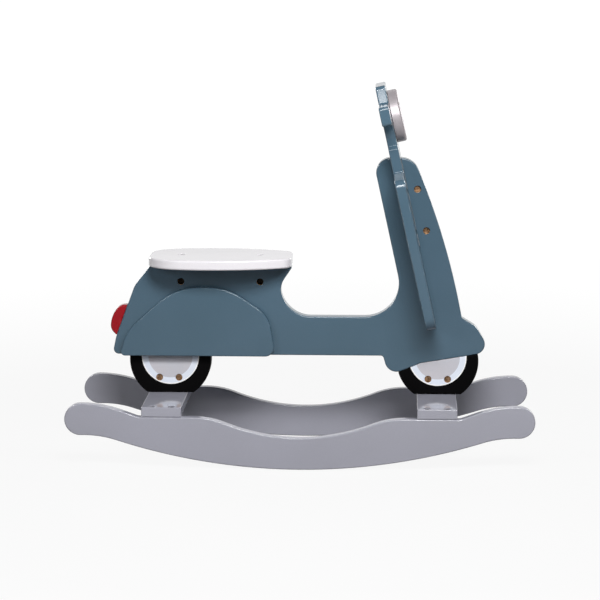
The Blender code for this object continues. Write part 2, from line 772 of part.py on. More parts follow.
def headlight():
    """Turned disc on the handlebar board's front, rounded in front."""
    front = BOARD / 2
    centre = (HEADLIGHT_RADIUS - HEADLIGHT_ROUND, front - HEADLIGHT_ROUND)
    profile = [Vector((0, front))] + arc(centre, HEADLIGHT_ROUND, pi / 2, 0)
    profile += [Vector((HEADLIGHT_RADIUS, -front)), Vector((0, -front))]
    made = turned("headlight_turning", profile)
    made.modifiers["turning"].steps = 3 * FACETS
    made.modifiers["turning"].render_steps = 3 * FACETS
    place = (BOARD + GAP, 0, HEADLIGHT_UP)
    mesh = finished_mesh("headlight", made)
    return piece("headlight", mesh, "silver_paint", STEERING, place, (0, pi / 2, 0))


def tail_light():
    """Bulge on the tail's rear edge."""
    bend, top = tail_edge()
    along = (top - bend).normalized()
    place = bend + along * TAIL_LIGHT_START
    mesh = plate("tail_light", tail_light_outline(), LIGHT_THICKNESS)
    lean = -atan2(along.y, along.x)
    light = piece("tail_light", mesh, "red_paint", SCOOTER, (place.x, 0, place.y), (pi / 2, lean, 0))
    soften(light, EDGE_ROUND)
    return light, place, along


def place_bolt(name, mesh, underside, along, parent=None):
    """Bolt whose head rests at underside and whose shank runs along the given direction."""
    turn = Vector(along).to_track_quat("-Z", "Y").to_euler()
    return piece(name, mesh, "steel", parent, underside, turn)


def bolted(label, surface, nut, boards, nut_length, nut_board, nut_mouth, nut_turn, parent=None):
    """Bolt and barrel nut through a stack of boards, with their holes.

    surface is where the bolt goes in and nut is the nut's centre. boards are the board under
    the head, the ones it passes through, and last the one that holds the nut, whose thickness
    is nut_board. nut_mouth is the side, -1 or 1 along Y, from which the nut's blind hole is
    drilled.
    """
    surface = Vector(surface)
    nut = Vector(nut)
    along = (nut - surface).normalized()
    underside = surface + along * (HEAD_RECESS + BOLT_HEAD_HEIGHT)
    length = (nut - underside).length + TIP_REACH
    shank = BOLT_RADIUS + GAP
    head = BOLT_HEAD_RADIUS + GAP
    end = underside + along * (length + PAST / 2)
    drilled = list(dict.fromkeys(boards))
    drill("hole_" + label, shank, underside - along * BOLT_HEAD_HEIGHT / 2, end, drilled, parent)
    floor = underside + along * GAP
    drill("recess_" + label, head, surface - along * PAST, floor, boards[:1], parent)
    mouth = nut + Vector((0, nut_mouth * (nut_board / 2 + PAST), 0))
    blind = nut - Vector((0, nut_mouth * (nut_length / 2 + GAP), 0))
    drill("barrel_" + label, NUT_RADIUS + GAP, mouth, blind, boards[-1:], parent)
    size = "bolt_%d" % round(length * 1000)
    bolt = BOLT_MESHES.get(size) or bolt_mesh(size, length)
    BOLT_MESHES[size] = bolt
    place_bolt("bolt_" + label, bolt, underside, along, parent)
    size = "nut_%d" % round(nut_length * 1000)
    barrel = NUT_MESHES.get(size) or nut_mesh(size, nut_length)
    NUT_MESHES[size] = barrel
    piece("nut_" + label, barrel, "brass", parent, nut, nut_turn)


def dowelled(label, centre, along, depth, boards, parent=None):
    """Glued dowel centred on a joint, reaching depth into the wood each way."""
    along = Vector(along).normalized()
    centre = Vector(centre)
    end = along * (depth + GAP)
    drill("dowel_hole_" + label, DOWEL_RADIUS + GAP, centre - end, centre + end, boards, parent)
    name = "dowel_" + label
    turn = along.to_track_quat("Z", "Y").to_euler()
    piece(name, cylinder(name, DOWEL_RADIUS, 2 * depth), "dowel_wood", parent, centre, turn)


BOLT_MESHES = {}
NUT_MESHES = {}


def rocker_bolts(rockers_made, crossbars_made):
    """Two bolts at each end of each crossbar, down into the rocker's edge."""
    barrel = BOARD - 2 * NUT_RECESS
    for bar, end, bar_x in zip(crossbars_made, ("rear", "front"), (-CROSSBAR_X, CROSSBAR_X)):
        for rocker, side, y in zip(rockers_made, ("right", "left"), (-ROCKER_Y, ROCKER_Y)):
            inward = 1 if y < 0 else -1
            turn = (0, 0, pi) if inward > 0 else (0, 0, 0)
            for number, spread in enumerate((-BOLT_SPREAD, BOLT_SPREAD), 1):
                x = bar_x + spread
                label = f"rocker_{end}_{side}_{number}"
                nut = (x, y, LANDING - ROCKER_NUT_DROP)
                boards = [bar, rocker]
                bolted(label, (x, y, CROSSBAR_TOP), nut, boards, barrel, BOARD, inward, turn)


def wheel_bolts(crossbars_made, wheels_made):
    """Two bolts up through each crossbar into its wheel board."""
    barrel = BODY_THICKNESS - 2 * NUT_RECESS
    turn = (0, 0, 0)
    for bar, wheel, end, wheel_x in zip(
        crossbars_made, wheels_made, ("rear", "front"), (-CROSSBAR_X, CROSSBAR_X)
    ):
        for number, spread in enumerate((-BOLT_SPREAD, BOLT_SPREAD), 1):
            x = wheel_x + spread
            nut = (x, 0, WHEEL_NUT_HEIGHT)
            boards = [bar, wheel]
            label = f"wheel_{end}_{number}"
            surface = (x, 0, -BOARD)
            bolted(label, surface, nut, boards, barrel, BODY_THICKNESS, -1, turn, SCOOTER)


def seat_bolts(seat, body):
    """Two bolts down through the seat into the body board."""
    barrel = BODY_THICKNESS - 2 * BODY_NUT_RECESS
    turn = (0, 0, 0)
    top = SEAT_REST + GAP + BOARD
    for end, inset in (("rear", SEAT_BOLT_REAR), ("front", SEAT_BOLT_FRONT)):
        x = SEAT_REAR_X + inset
        nut = (x, 0, SEAT_REST - SEAT_NUT_DROP)
        label = "seat_" + end
        boards = [seat, body]
        bolted(label, (x, 0, top), nut, boards, barrel, BODY_THICKNESS, -1, turn, SCOOTER)


def steering_bolts(body, board):
    """Two bolts from the column's rear edge through the handlebar board."""
    barrel = BODY_THICKNESS - 2 * BODY_NUT_RECESS
    for height, up in (("low", STEERING_NUT_LOW), ("high", STEERING_NUT_HIGH)):
        surface = (-COLUMN_BACK, 0, up)
        nut = (STEERING_NUT_AHEAD, 0, up)
        boards = [body, board, body]
        turn = (0, pi / 2, 0)
        label = "steering_" + height
        bolted(label, surface, nut, boards, barrel, BODY_THICKNESS, -1, turn, STEERING)


def dowels(body, wheels_made, cowls_made, lamp, board, rear_lamp, rear_place, rear_along):
    """Hidden dowels of the glued joints."""
    slope = tan(FENDER_SLOPE)
    for number, spread in enumerate((-WHEEL_DOWEL_SPREAD, WHEEL_DOWEL_SPREAD), 1):
        rear = (spread - CROSSBAR_X, 0, SILL)
        dowelled(f"wheel_rear_{number}", rear, (0, 0, 1), DOWEL_DEPTH, [wheels_made[0], body], SCOOTER)
        front = (spread + CROSSBAR_X, 0, WHEEL_HEIGHT + FENDER_RISE + slope * spread)
        dowelled(f"wheel_front_{number}", front, (0, 0, 1), DOWEL_DEPTH, [wheels_made[1], body], SCOOTER)
    through = BODY_THICKNESS / 2 + LIGHT_DOWEL_DEPTH
    rear_x = COWL_FRONT_X - COWL_LENGTH + COWL_DOWEL_INSET
    front_x = COWL_FRONT_X - COWL_DOWEL_INSET
    for end, x in (("rear", rear_x), ("front", front_x)):
        centre = (x, 0, SILL + COWL_DOWEL_HEIGHT)
        dowelled("cowl_" + end, centre, (0, 1, 0), through, [body, *cowls_made], SCOOTER)
    centre = ((BOARD + GAP) / 2, 0, HEADLIGHT_UP)
    dowelled("headlight", centre, (1, 0, 0), LIGHT_DOWEL_DEPTH, [board, lamp], STEERING)
    middle = rear_place + rear_along * TAIL_LIGHT_LENGTH / 2
    outward = (-rear_along.y, 0, rear_along.x)
    centre = (middle.x, 0, middle.y)
    dowelled("tail_light", centre, outward, LIGHT_DOWEL_DEPTH, [body, rear_lamp], SCOOTER)


def build():
    """The whole toy."""
    rockers_made = rockers()
    crossbars_made = crossbars()
    wheels_made = wheels()
    body = body_board()
    board = handlebar_board()
    cowls_made = cowls()
    seat = seat_board()
    lamp = headlight()
    rear_lamp, rear_place, rear_along = tail_light()
    rocker_bolts(rockers_made, crossbars_made)
    wheel_bolts(crossbars_made, wheels_made)
    seat_bolts(seat, body)
    steering_bolts(body, board)
    dowels(body, wheels_made, cowls_made, lamp, board, rear_lamp, rear_place, rear_along)


build()
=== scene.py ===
# %% [markdown]
# # Dressing a rocking scooter toy
#
# The toy is a ride-on scooter that a child rocks on. It is sawn from flat boards, painted
# before assembly, and screwed together with socket bolts and brass barrel nuts. The packed
# model holds every board and fastener at its true size. This lesson gives each of them a
# finer surface and a painted finish, and then sets up a plain photo studio.

import bpy
import numpy as np
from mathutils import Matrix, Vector
from mathutils.geometry import delaunay_2d_cdt


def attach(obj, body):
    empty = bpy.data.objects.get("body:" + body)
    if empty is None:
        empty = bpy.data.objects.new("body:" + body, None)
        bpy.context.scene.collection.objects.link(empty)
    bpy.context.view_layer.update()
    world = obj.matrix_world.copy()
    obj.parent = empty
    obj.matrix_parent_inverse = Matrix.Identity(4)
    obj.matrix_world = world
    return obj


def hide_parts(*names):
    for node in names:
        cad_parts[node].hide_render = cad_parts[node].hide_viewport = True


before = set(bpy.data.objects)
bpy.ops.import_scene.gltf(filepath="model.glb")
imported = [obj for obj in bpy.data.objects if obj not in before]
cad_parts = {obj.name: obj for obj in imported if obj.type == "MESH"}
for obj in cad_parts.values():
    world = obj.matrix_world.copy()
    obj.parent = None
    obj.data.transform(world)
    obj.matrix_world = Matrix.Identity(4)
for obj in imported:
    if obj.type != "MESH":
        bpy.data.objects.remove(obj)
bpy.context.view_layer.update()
print("pieces in the packed model:", len(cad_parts))

# %% [markdown]
# ## Where the boards stand
#
# Two frames carry the whole toy. The scooter's frame sits on top of the crossbars, with X
# forward. The steering frame starts at the foot of the handlebar board and leans back with
# it. A board is drawn flat, in its own u and v, and a third axis w goes through its
# thickness, so each board only needs an origin and three axes.

# %% Frames of the toy
BOARD = 0.015
BODY = 0.022
GAP = 0.0003
CROSSBAR_TOP = 0.09379
LANDING = 0.07849
CROSSBAR_X = 0.206595
ROCKER_Y = 0.12
CROSSBARS = (("rear", -CROSSBAR_X), ("front", CROSSBAR_X))
BELLY = 0.0596
SEAT_UNDERSIDE = 0.1985
LEAN = np.radians(12.4)

AHEAD = np.array([1.0, 0.0, 0.0])
LEFT = np.array([0.0, 1.0, 0.0])
RIGHT = -LEFT
UP = np.array([0.0, 0.0, 1.0])
AHEAD_OF_BARS = 0.002
SCOOTER = np.array([AHEAD_OF_BARS, 0.0, CROSSBAR_TOP])
FOOT = np.array([CROSSBAR_X - 0.0109, 0.0, 0.1112])
STEERING = SCOOTER + FOOT
STEERING_UP = np.array([-np.sin(LEAN), 0.0, np.cos(LEAN)])
STEERING_AHEAD = np.array([np.cos(LEAN), 0.0, np.sin(LEAN)])


def axes(origin, u, v):
    """Origin and three axes of a flat piece; w is u crossed with v."""
    return np.asarray(origin, float), np.array([u, v, np.cross(u, v)])


def side_view(y, origin=SCOOTER):
    """Axes of a board that stands along the toy: u forward, v up, w to the right."""
    return axes(origin + [0.0, y, 0.0], AHEAD, UP)


def rays_round(axis, angle):
    """Unit rays at some angles about an axis, one row for each."""
    side = np.cross(axis, LEFT if abs(axis[1]) < 0.9 else UP)
    side /= np.linalg.norm(side)
    return np.cos(angle)[:, None] * side + np.sin(angle)[:, None] * np.cross(axis, side)


print("handlebar board starts at", STEERING.round(4))

# %% [markdown]
# ## Drawing an outline
#
# A sawn board has straight runs and rounded corners. Each corner is written as its place
# and its radius, and as a fourth number where the board's long edges are rounded over less
# than usual. The arc that touches both runs replaces the corner. All arcs are worked out
# together, as one array of corners by steps, and each point keeps the direction that looks
# out of the board, which later gives perfectly smooth shading.

# %% Outlines from rounded corners and arcs
CORNER_STEPS = 14
ARC_STEPS = 40
ROUNDING = 0.002


def turned_outwards(points, normals, edge):
    """The outline anticlockwise, its repeated points dropped."""
    after = np.roll(points, -1, axis=0)
    area = np.sum(points[:, 0] * after[:, 1] - after[:, 0] * points[:, 1])
    if area < 0:
        points, normals, edge = points[::-1], normals[::-1], edge[::-1]
    fresh = np.linalg.norm(points - np.roll(points, 1, axis=0), axis=1) > 2e-6
    return points[fresh], normals[fresh], edge[fresh]


def rounded_outline(corners, rounding=ROUNDING):
    """Closed outline through corners (u, v, radius), or (u, v, radius, own edge rounding).

    Each corner becomes the arc whose tangent length is radius times the tangent of half the
    turn. Where two neighbours want more than the run between them, both give way in
    proportion. A point is the arc's centre plus radius times (cos, sin) of its angle.
    """
    corners = np.array([(*corner, rounding)[:4] for corner in corners])
    place = corners[:, :2]
    run = np.roll(place, -1, axis=0) - place
    length = np.linalg.norm(run, axis=1)
    ahead = run / length[:, None]
    back = np.roll(ahead, 1, axis=0)
    cross = back[:, 0] * ahead[:, 1] - back[:, 1] * ahead[:, 0]
    turn = np.arctan2(cross, np.sum(back * ahead, axis=1))
    half = np.abs(np.tan(turn / 2))
    reach = corners[:, 2] * half
    share = np.minimum(1.0, length / (reach + np.roll(reach, -1)))
    reach = reach * np.minimum(share, np.roll(share, 1))
    radius = reach / half
    side = np.sign(turn)
    inward = side[:, None] * np.stack([-back[:, 1], back[:, 0]], axis=1)
    centre = place - back * reach[:, None] + inward * radius[:, None]
    first = np.arctan2(-inward[:, 1], -inward[:, 0])
    angle = first[:, None] + turn[:, None] * np.linspace(0, 1, CORNER_STEPS)
    ray = np.stack([np.cos(angle), np.sin(angle)], axis=-1)
    points = centre[:, None] + radius[:, None, None] * ray
    after = np.roll(place, -1, axis=0)
    winding = np.sign(np.sum(place[:, 0] * after[:, 1] - after[:, 0] * place[:, 1]))
    normals = ray * (side * winding)[:, None, None]
    edge = np.repeat(corners[:, 3], CORNER_STEPS)
    return turned_outwards(points.reshape(-1, 2), normals.reshape(-1, 2), edge)


def arc_outline(arcs, edge):
    """Closed outline from arcs (centre u, centre v, radius, first angle, last angle, side).

    A point is the centre plus radius times (cos, sin) of its angle; side is 1 where the
    board is on the centre's side and -1 where the arc is hollow.
    """
    arcs = np.asarray(arcs, float)
    angle = arcs[:, 3:4] + (arcs[:, 4:5] - arcs[:, 3:4]) * np.linspace(0, 1, ARC_STEPS)
    ray = np.stack([np.cos(angle), np.sin(angle)], axis=-1)
    points = arcs[:, None, :2] + arcs[:, 2, None, None] * ray
    normals = ray * arcs[:, 5, None, None]
    rounding = np.full(len(arcs) * ARC_STEPS, edge)
    return turned_outwards(points.reshape(-1, 2), normals.reshape(-1, 2), rounding)


# %% [markdown]
# ## Gathering a surface
#
# A finished board is one closed skin: a strip that runs round the outline and over both
# rounded edges, two flat faces, and the walls of its holes. The little class below gathers
# such patches. It keeps a normal for every face corner, taken from the formula of the
# surface and not from its triangles, so wide flats stay flat and narrow roundings catch
# the light as a real sprayed edge does.

# %% A skin of grids and flat patches
def ring_quads(values):
    """The four corners of each cell of a grid whose rows close into a ring."""
    after = np.roll(values, -1, axis=0)
    return np.stack([values[:, :-1], values[:, 1:], after[:, 1:], after[:, :-1]], axis=2)


def placed(name, data):
    """New object of the scene."""
    made = bpy.data.objects.new(name, data)
    bpy.context.scene.collection.objects.link(made)
    return made


class Skin:
    """Points, faces, corner normals, material numbers and edge marks of one piece."""

    def __init__(self):
        self.points = np.zeros((0, 3))
        self.arris = np.zeros(0)
        self.faces = []
        self.normals = []
        self.slots = []

    def add(self, points, arris=0.0):
        """Store an array of points and return their numbers in the same layout."""
        layout = points.shape[:-1]
        index = len(self.points) + np.arange(points.size // 3).reshape(layout)
        self.points = np.vstack([self.points, points.reshape(-1, 3)])
        self.arris = np.append(self.arris, np.broadcast_to(arris, layout))
        return index

    def keep(self, faces, normals, slot=0):
        """Store an array of faces and the normals of their corners."""
        self.faces += faces.tolist()
        self.normals.append(normals.reshape(-1, 3))
        self.slots += [slot] * len(faces)

    def strip(self, index, normals, slot=0):
        """Quads over rows that run round the piece; columns go from one side to the other."""
        self.keep(ring_quads(index).reshape(-1, 4), ring_quads(normals), slot)

    def face(self, loop, normal, slot=0):
        """One flat face round a loop of point numbers."""
        self.keep(np.array([loop]), np.broadcast_to(normal, (len(loop), 3)), slot)

    def pierced(self, loops, u, v, slot=0):
        """Flat face inside the first loop and outside the others, cut into triangles.

        The loops are the only edges that the triangles must keep. A triangle with all its
        corners on one hole's loop lies in that hole and is dropped.
        """
        index = np.concatenate(loops)
        owner = np.repeat(np.arange(len(loops)), [len(loop) for loop in loops])
        flat = self.points[index] @ np.array([u, v]).T * 1000
        start = np.cumsum([0] + [len(loop) for loop in loops[:-1]])
        steps = [first + np.arange(len(loop)) for first, loop in zip(start, loops)]
        pairs = [np.stack([step, np.roll(step, -1)], axis=1) for step in steps]
        corners = [Vector(corner) for corner in flat.tolist()]
        found = delaunay_2d_cdt(corners, np.concatenate(pairs).tolist(), [], 1, 1e-7)
        triangles = np.array(found[2])
        held = owner[triangles]
        inside = (held[:, 0] == held[:, 1]) & (held[:, 1] == held[:, 2]) & (held[:, 0] > 0)
        triangles = index[triangles[~inside]]
        self.keep(triangles, np.broadcast_to(np.cross(u, v), (3 * len(triangles), 3)), slot)

    def piece(self, name, materials, smooth_angle=None):
        """Blender object of the skin, at the origin, with its place in its mesh."""
        mesh = bpy.data.meshes.new(name)
        mesh.from_pydata(self.points.tolist(), [], self.faces)
        mesh.polygons.foreach_set("material_index", self.slots)
        mesh.shade_smooth()
        if smooth_angle is None:
            mesh.normals_split_custom_set(np.concatenate(self.normals).tolist())
        else:
            mesh.set_sharp_from_angle(angle=np.radians(smooth_angle))
        marks = mesh.attributes.new("arris", "FLOAT", "POINT")
        marks.data.foreach_set("value", self.arris.astype(np.float32))
        for material in materials:
            mesh.materials.append(material)
        made = placed(name, mesh)
        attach(made, "root")
        print(name, "has", len(mesh.polygons), "faces")
        return made


# %% [markdown]
# ## Drilling and rounding a board
#
# A drilled hole in a painted board has a soft lip where the paint rolls over, a bare wall
# where the drill went through after painting, and a flat floor. It is a small profile
# carried round a circle. The board's own long edges are the same idea: a quarter circle at
# each face, carried round the outline.

# %% Holes and boards
HOLE_POINTS = 32
HOLE_RADIUS = 0.0053
HOLE_DEPTH = 0.006
LIP = 0.0004


def drill(skin, centre, look, depth, wall_slot):
    """Blind round hole; returns the loop of its mouth.

    The profile starts on the face at radius plus lip, rolls over the lip by a quarter
    circle, and goes straight down. It is carried clockwise round the hole's axis.
    """
    ray = rays_round(look, -2 * np.pi * np.arange(HOLE_POINTS) / HOLE_POINTS)
    roll = np.radians(np.linspace(90, 0, 5))
    out = np.append(HOLE_RADIUS + LIP * (1 - np.cos(roll)), HOLE_RADIUS)
    down = np.append(LIP * (np.sin(roll) - 1), -depth)
    points = centre + out[:, None] * ray[:, None] + down[:, None] * look
    facing_up = np.append(np.sin(roll), 0.0)
    facing_in = np.append(np.cos(roll), 1.0)
    normals = facing_up[:, None] * look - facing_in[:, None] * ray[:, None]
    index = skin.add(points)
    skin.strip(index[:, :5], normals[:, :5])
    skin.strip(index[:, 4:], normals[:, 4:], wall_slot)
    skin.face(index[::-1, -1], look, wall_slot)
    return index[:, 0]


def board(name, outline, thickness, place, materials, holes=(), edge_holes=()):
    """Flat board: rounded long edges carried round its outline, closed by two flat faces.

    A point of the edge at angle f is the outline's point, moved inwards by e times
    (1 - cos f) and along w by half the thickness less e times (1 - sin f), where e is the
    rounding there. holes are (u, v, side, depth, wall material) on the faces, and
    edge_holes are (u, v, depth) on a straight run of the edge.
    """
    origin, (u, v, w) = place
    points, looks, edge = outline
    f = np.radians(np.append(np.linspace(90, 0, 7), np.linspace(0, -90, 7)))
    half = np.where(np.arange(14) < 7, 1, -1) * thickness / 2
    inset = edge[:, None] * (1 - np.cos(f))
    lift = half - edge[:, None] * (np.sign(half) - np.sin(f))
    flat = points[:, None] - looks[:, None] * inset[..., None]
    skin = Skin()
    index = skin.add(origin + flat @ np.array([u, v]) + lift[..., None] * w, np.abs(np.sin(2 * f)))
    out = looks @ np.array([u, v])
    normals = np.cos(f)[:, None] * out[:, None] + np.sin(f)[:, None] * w
    skin.strip(index[:, :7], normals[:, :7])
    skin.strip(index[:, 7:], normals[:, 7:])
    ahead = np.roll(points, -1, axis=0) - points
    length = np.linalg.norm(ahead, axis=1)
    pierced_runs = np.zeros(len(points), bool)
    for hole_u, hole_v, _ in edge_holes:
        away = np.array([hole_u, hole_v]) - points
        along = np.sum(away * ahead, axis=1) / length
        off = np.abs(away[:, 0] * ahead[:, 1] - away[:, 1] * ahead[:, 0]) / length
        pierced_runs |= (along > 0) & (along < length) & (off < 1e-3)
    whole = ~pierced_runs
    band = ring_quads(index[:, 6:8])[:, 0]
    skin.keep(band[whole], ring_quads(np.stack([out, out], axis=1))[whole])
    for number in np.flatnonzero(pierced_runs):
        look = out[number]
        run = ahead[number] @ np.array([u, v]) / length[number]
        loops = [band[number]]
        for hole_u, hole_v, depth in edge_holes:
            centre = origin + hole_u * u + hole_v * v
            centre = centre + look * ((skin.points[band[number][0]] - centre) @ look)
            loops.append(drill(skin, centre, look, depth, 0))
        skin.pierced(loops, -w, run)
    for side, rim in ((1, index[:, 0]), (-1, index[:, -1])):
        loops = [rim]
        for hole_u, hole_v, hole_side, depth, wall in holes:
            if hole_side == side:
                centre = origin + hole_u * u + hole_v * v + side * thickness / 2 * w
                loops.append(drill(skin, centre, side * w, depth, wall))
        skin.pierced(loops, u, side * v)
    return skin.piece(name, materials)


# %% [markdown]
# ## Effects that several finishes share
#
# A node group is built once and used in many materials. The first one is a sprayed film of
# paint: its colour drifts a little over a board, a fine pigment shows up close, the arrises
# wear lighter, and the film has a faint orange peel. The second is metal from a lathe, the
# third is bare wood. They read Object coordinates, in metres, so the grain has the same
# size on every piece.

# %% Node helpers
def tint(red, green, blue):
    """Linear colour from 0 to 255 screen values."""
    level = (np.array([red, green, blue]) / 255 + 0.055) / 1.055
    return (*(level**2.4).tolist(), 1.0)


def plug(tree, value, socket):
    """Give a socket a value, or the link from another socket."""
    if isinstance(value, (int, float, tuple)):
        socket.default_value = value
    else:
        tree.links.new(value, socket)


def feed(tree, made, **values):
    """Plug values into a node's inputs by name; underscores in a name stand for spaces."""
    for label, value in values.items():
        plug(tree, value, made.inputs[label.replace("_", " ")])
    return made


def node(tree, kind, **values):
    """New shader node with some of its inputs plugged in."""
    return feed(tree, tree.nodes.new("ShaderNode" + kind), **values)


def new_group(name, colours, numbers):
    """Empty group from a place, colours and numbers to a colour, a roughness and a height."""
    tree = bpy.data.node_groups.new(name, "ShaderNodeTree")
    sockets = [("INPUT", "Vector", "Place")]
    sockets += [("INPUT", "Color", label) for label in colours]
    sockets += [("INPUT", "Float", label) for label in numbers]
    sockets += [("OUTPUT", "Color", "Colour")]
    sockets += [("OUTPUT", "Float", label) for label in ("Roughness", "Height")]
    for way, kind, label in sockets:
        tree.interface.new_socket(name=label, in_out=way, socket_type="NodeSocket" + kind)
    given, put = tree.nodes.new("NodeGroupInput"), tree.nodes.new("NodeGroupOutput")
    return tree, given.outputs, put.inputs


def give_out(tree, put, *results):
    """Send the colour, roughness and height out of a group; returns its tree."""
    for result, socket in zip(results, put):
        plug(tree, result, socket)
    return tree


def noise(tree, place, scale, detail=2.0, roughness=0.5):
    """Noise texture on a place; returns its value socket."""
    made = node(tree, "TexNoise", Vector=place, Scale=scale, Detail=detail, Roughness=roughness)
    return made.outputs["Fac"]


def remap(tree, value, low, high, to_low, to_high):
    """Straight-line change of range, held at its ends."""
    made = node(tree, "MapRange")
    for socket, number in zip(made.inputs, (value, low, high, to_low, to_high)):
        plug(tree, number, socket)
    return made.outputs["Result"]


def sums(tree, operation, first, second):
    """Math node; either side may be a socket or a number."""
    made = node(tree, "Math")
    made.operation = operation
    for socket, value in zip(made.inputs, (first, second)):
        plug(tree, value, socket)
    return made.outputs["Value"]


def span_of(tree, vector):
    """Length of a vector."""
    made = node(tree, "VectorMath")
    made.operation = "LENGTH"
    tree.links.new(vector, made.inputs[0])
    return made.outputs["Value"]


def blend(tree, share, first, second, mode="MIX"):
    """Colour mix; share, first and second may be sockets or values."""
    made = node(tree, "Mix")
    made.data_type = "RGBA"
    made.blend_type = mode
    for number, value in ((0, share), (6, first), (7, second)):
        plug(tree, value, made.inputs[number])
    return made.outputs[2]


# %% The paint film
def build_paint_film():
    """Group for sprayed paint on wood: drifting colour, worn arrises, orange peel."""
    tree, given, put = new_group(
        "paint_film",
        ["Colour", "Drift Colour", "Worn Colour"],
        ["Arris", "Wear", "Gloss Roughness"],
    )
    place = given["Place"]
    drift = remap(tree, noise(tree, place, 6.0, 3.0), 0.35, 0.65, 0.0, 1.0)
    colour = blend(tree, drift, given["Colour"], given["Drift Colour"])
    pigment = remap(tree, noise(tree, place, 1500.0, 1.0), 0.3, 0.7, 0.965, 1.035)
    colour = blend(tree, 1.0, colour, pigment, "MULTIPLY")
    rub = remap(tree, noise(tree, place, 85.0, 4.0, 0.6), 0.52, 0.66, 0.0, 1.0)
    worn = sums(tree, "MULTIPLY", rub, given["Arris"])
    worn = sums(tree, "MULTIPLY", worn, given["Wear"])
    colour = blend(tree, worn, colour, given["Worn Colour"])
    handled = remap(tree, noise(tree, place, 14.0, 3.0), 0.3, 0.7, -0.02, 0.03)
    rough = sums(tree, "ADD", given["Gloss Roughness"], handled)
    rough = sums(tree, "ADD", rough, sums(tree, "MULTIPLY", worn, 0.2))
    peel = sums(tree, "MULTIPLY", noise(tree, place, 420.0, 2.0), 0.7)
    dust = sums(tree, "MULTIPLY", noise(tree, place, 1600.0, 2.0), 0.3)
    height = sums(tree, "ADD", peel, dust)
    height = sums(tree, "SUBTRACT", height, sums(tree, "MULTIPLY", worn, 0.5))
    return give_out(tree, put, colour, rough, height)


PAINT_FILM = build_paint_film()
print("built", PAINT_FILM.name)


# %% Lathe-turned metal and bare wood
def build_turned_metal():
    """Group for machined hardware: tarnish patches, fine tool marks, uneven polish."""
    tree, given, put = new_group("turned_metal", ["Colour", "Tarnish Colour"], ["Polish Roughness"])
    place = given["Place"]
    patches = remap(tree, noise(tree, place, 260.0, 4.0, 0.6), 0.42, 0.68, 0.0, 0.85)
    colour = blend(tree, patches, given["Colour"], given["Tarnish Colour"])
    marks = noise(tree, place, 2600.0, 3.0)
    rough = sums(tree, "ADD", given["Polish Roughness"], sums(tree, "MULTIPLY", patches, 0.22))
    rough = sums(tree, "ADD", rough, remap(tree, marks, 0.3, 0.7, -0.05, 0.05))
    return give_out(tree, put, colour, rough, marks)


def build_bare_wood():
    """Group for unpainted wood: long streaks along the grain, pores, and soft end marks."""
    tree, given, put = new_group("bare_wood", ["Light Colour", "Dark Colour"], [])
    stretch = node(tree, "Mapping", Vector=given["Place"], Scale=(0.12, 1.0, 1.0))
    along = stretch.outputs["Vector"]
    streaks = noise(tree, along, 900.0, 4.0, 0.65)
    pores = noise(tree, along, 3200.0, 2.0)
    share = remap(tree, streaks, 0.35, 0.65, 0.0, 1.0)
    colour = blend(tree, share, given["Light Colour"], given["Dark Colour"])
    colour = blend(tree, 1.0, colour, remap(tree, pores, 0.3, 0.7, 0.82, 1.06), "MULTIPLY")
    rough = remap(tree, streaks, 0.3, 0.7, 0.62, 0.8)
    height = sums(tree, "ADD", streaks, sums(tree, "MULTIPLY", pores, 0.4))
    return give_out(tree, put, colour, rough, height)


TURNED_METAL = build_turned_metal()
BARE_WOOD = build_bare_wood()
print("built", TURNED_METAL.name, "and", BARE_WOOD.name)

# %% [markdown]
# ## The finishes
#
# Each material holds its own Principled shader. The group sends it a colour, a roughness
# and a height for the bump. What is the same all over, such as how strongly it mirrors, is
# set on the shader itself.


# %% Material makers
FINE_RELIEF = 0.00001
GRAIN_RELIEF = 0.00008


def surface(name, specular=0.5, metallic=0.0, coat=0.0, coat_roughness=0.1):
    """New node material; returns the material, its tree, its shader and Object coordinates."""
    material = bpy.data.materials.new(name)
    material.use_nodes = True
    tree = material.node_tree
    shader = tree.nodes["Principled BSDF"]
    feed(tree, shader, Specular_IOR_Level=specular, Metallic=metallic)
    feed(tree, shader, Coat_Weight=coat, Coat_Roughness=coat_roughness)
    place = node(tree, "TexCoord").outputs["Object"]
    return material, tree, shader, place


def attribute(tree, name):
    """Attribute node of the piece; the caller takes its Fac or Vector."""
    made = node(tree, "Attribute")
    made.attribute_name = name
    return made


def use_group(tree, group, place, **values):
    """Place a group and plug in its inputs."""
    made = node(tree, "Group")
    made.node_tree = group
    return feed(tree, made, Place=place, **values)


def finish_with(tree, shader, group, depth, colour=None):
    """Feed the shader from a group; depth is the height of its relief in metres."""
    bump = node(tree, "Bump", Strength=1.0, Distance=depth, Height=group.outputs["Height"])
    colour = colour or group.outputs["Colour"]
    rough = group.outputs["Roughness"]
    feed(tree, shader, Base_Color=colour, Roughness=rough, Normal=bump.outputs["Normal"])


def film_on(tree, place, colour, drift, worn, roughness, wear):
    """The film of paint in screen colours, worn where the piece marks its arrises."""
    arris = attribute(tree, "arris").outputs["Fac"]
    film = use_group(tree, PAINT_FILM, place, Arris=arris, Wear=wear, Gloss_Roughness=roughness)
    feed(tree, film, Colour=tint(*colour), Drift_Colour=tint(*drift), Worn_Colour=tint(*worn))
    return film


def paint(name, colour, drift, worn, roughness, specular=0.5, wear=0.3):
    """Sprayed and lacquered paint."""
    material, tree, shader, place = surface(name, specular)
    film = film_on(tree, place, colour, drift, worn, roughness, wear)
    finish_with(tree, shader, film, FINE_RELIEF)
    return material


def metal(name, colour, tarnish, roughness):
    """Machined metal."""
    material, tree, shader, place = surface(name, metallic=1.0)
    turned = use_group(tree, TURNED_METAL, place, Polish_Roughness=roughness)
    feed(tree, turned, Colour=tint(*colour), Tarnish_Colour=tint(*tarnish))
    finish_with(tree, shader, turned, FINE_RELIEF)
    return material


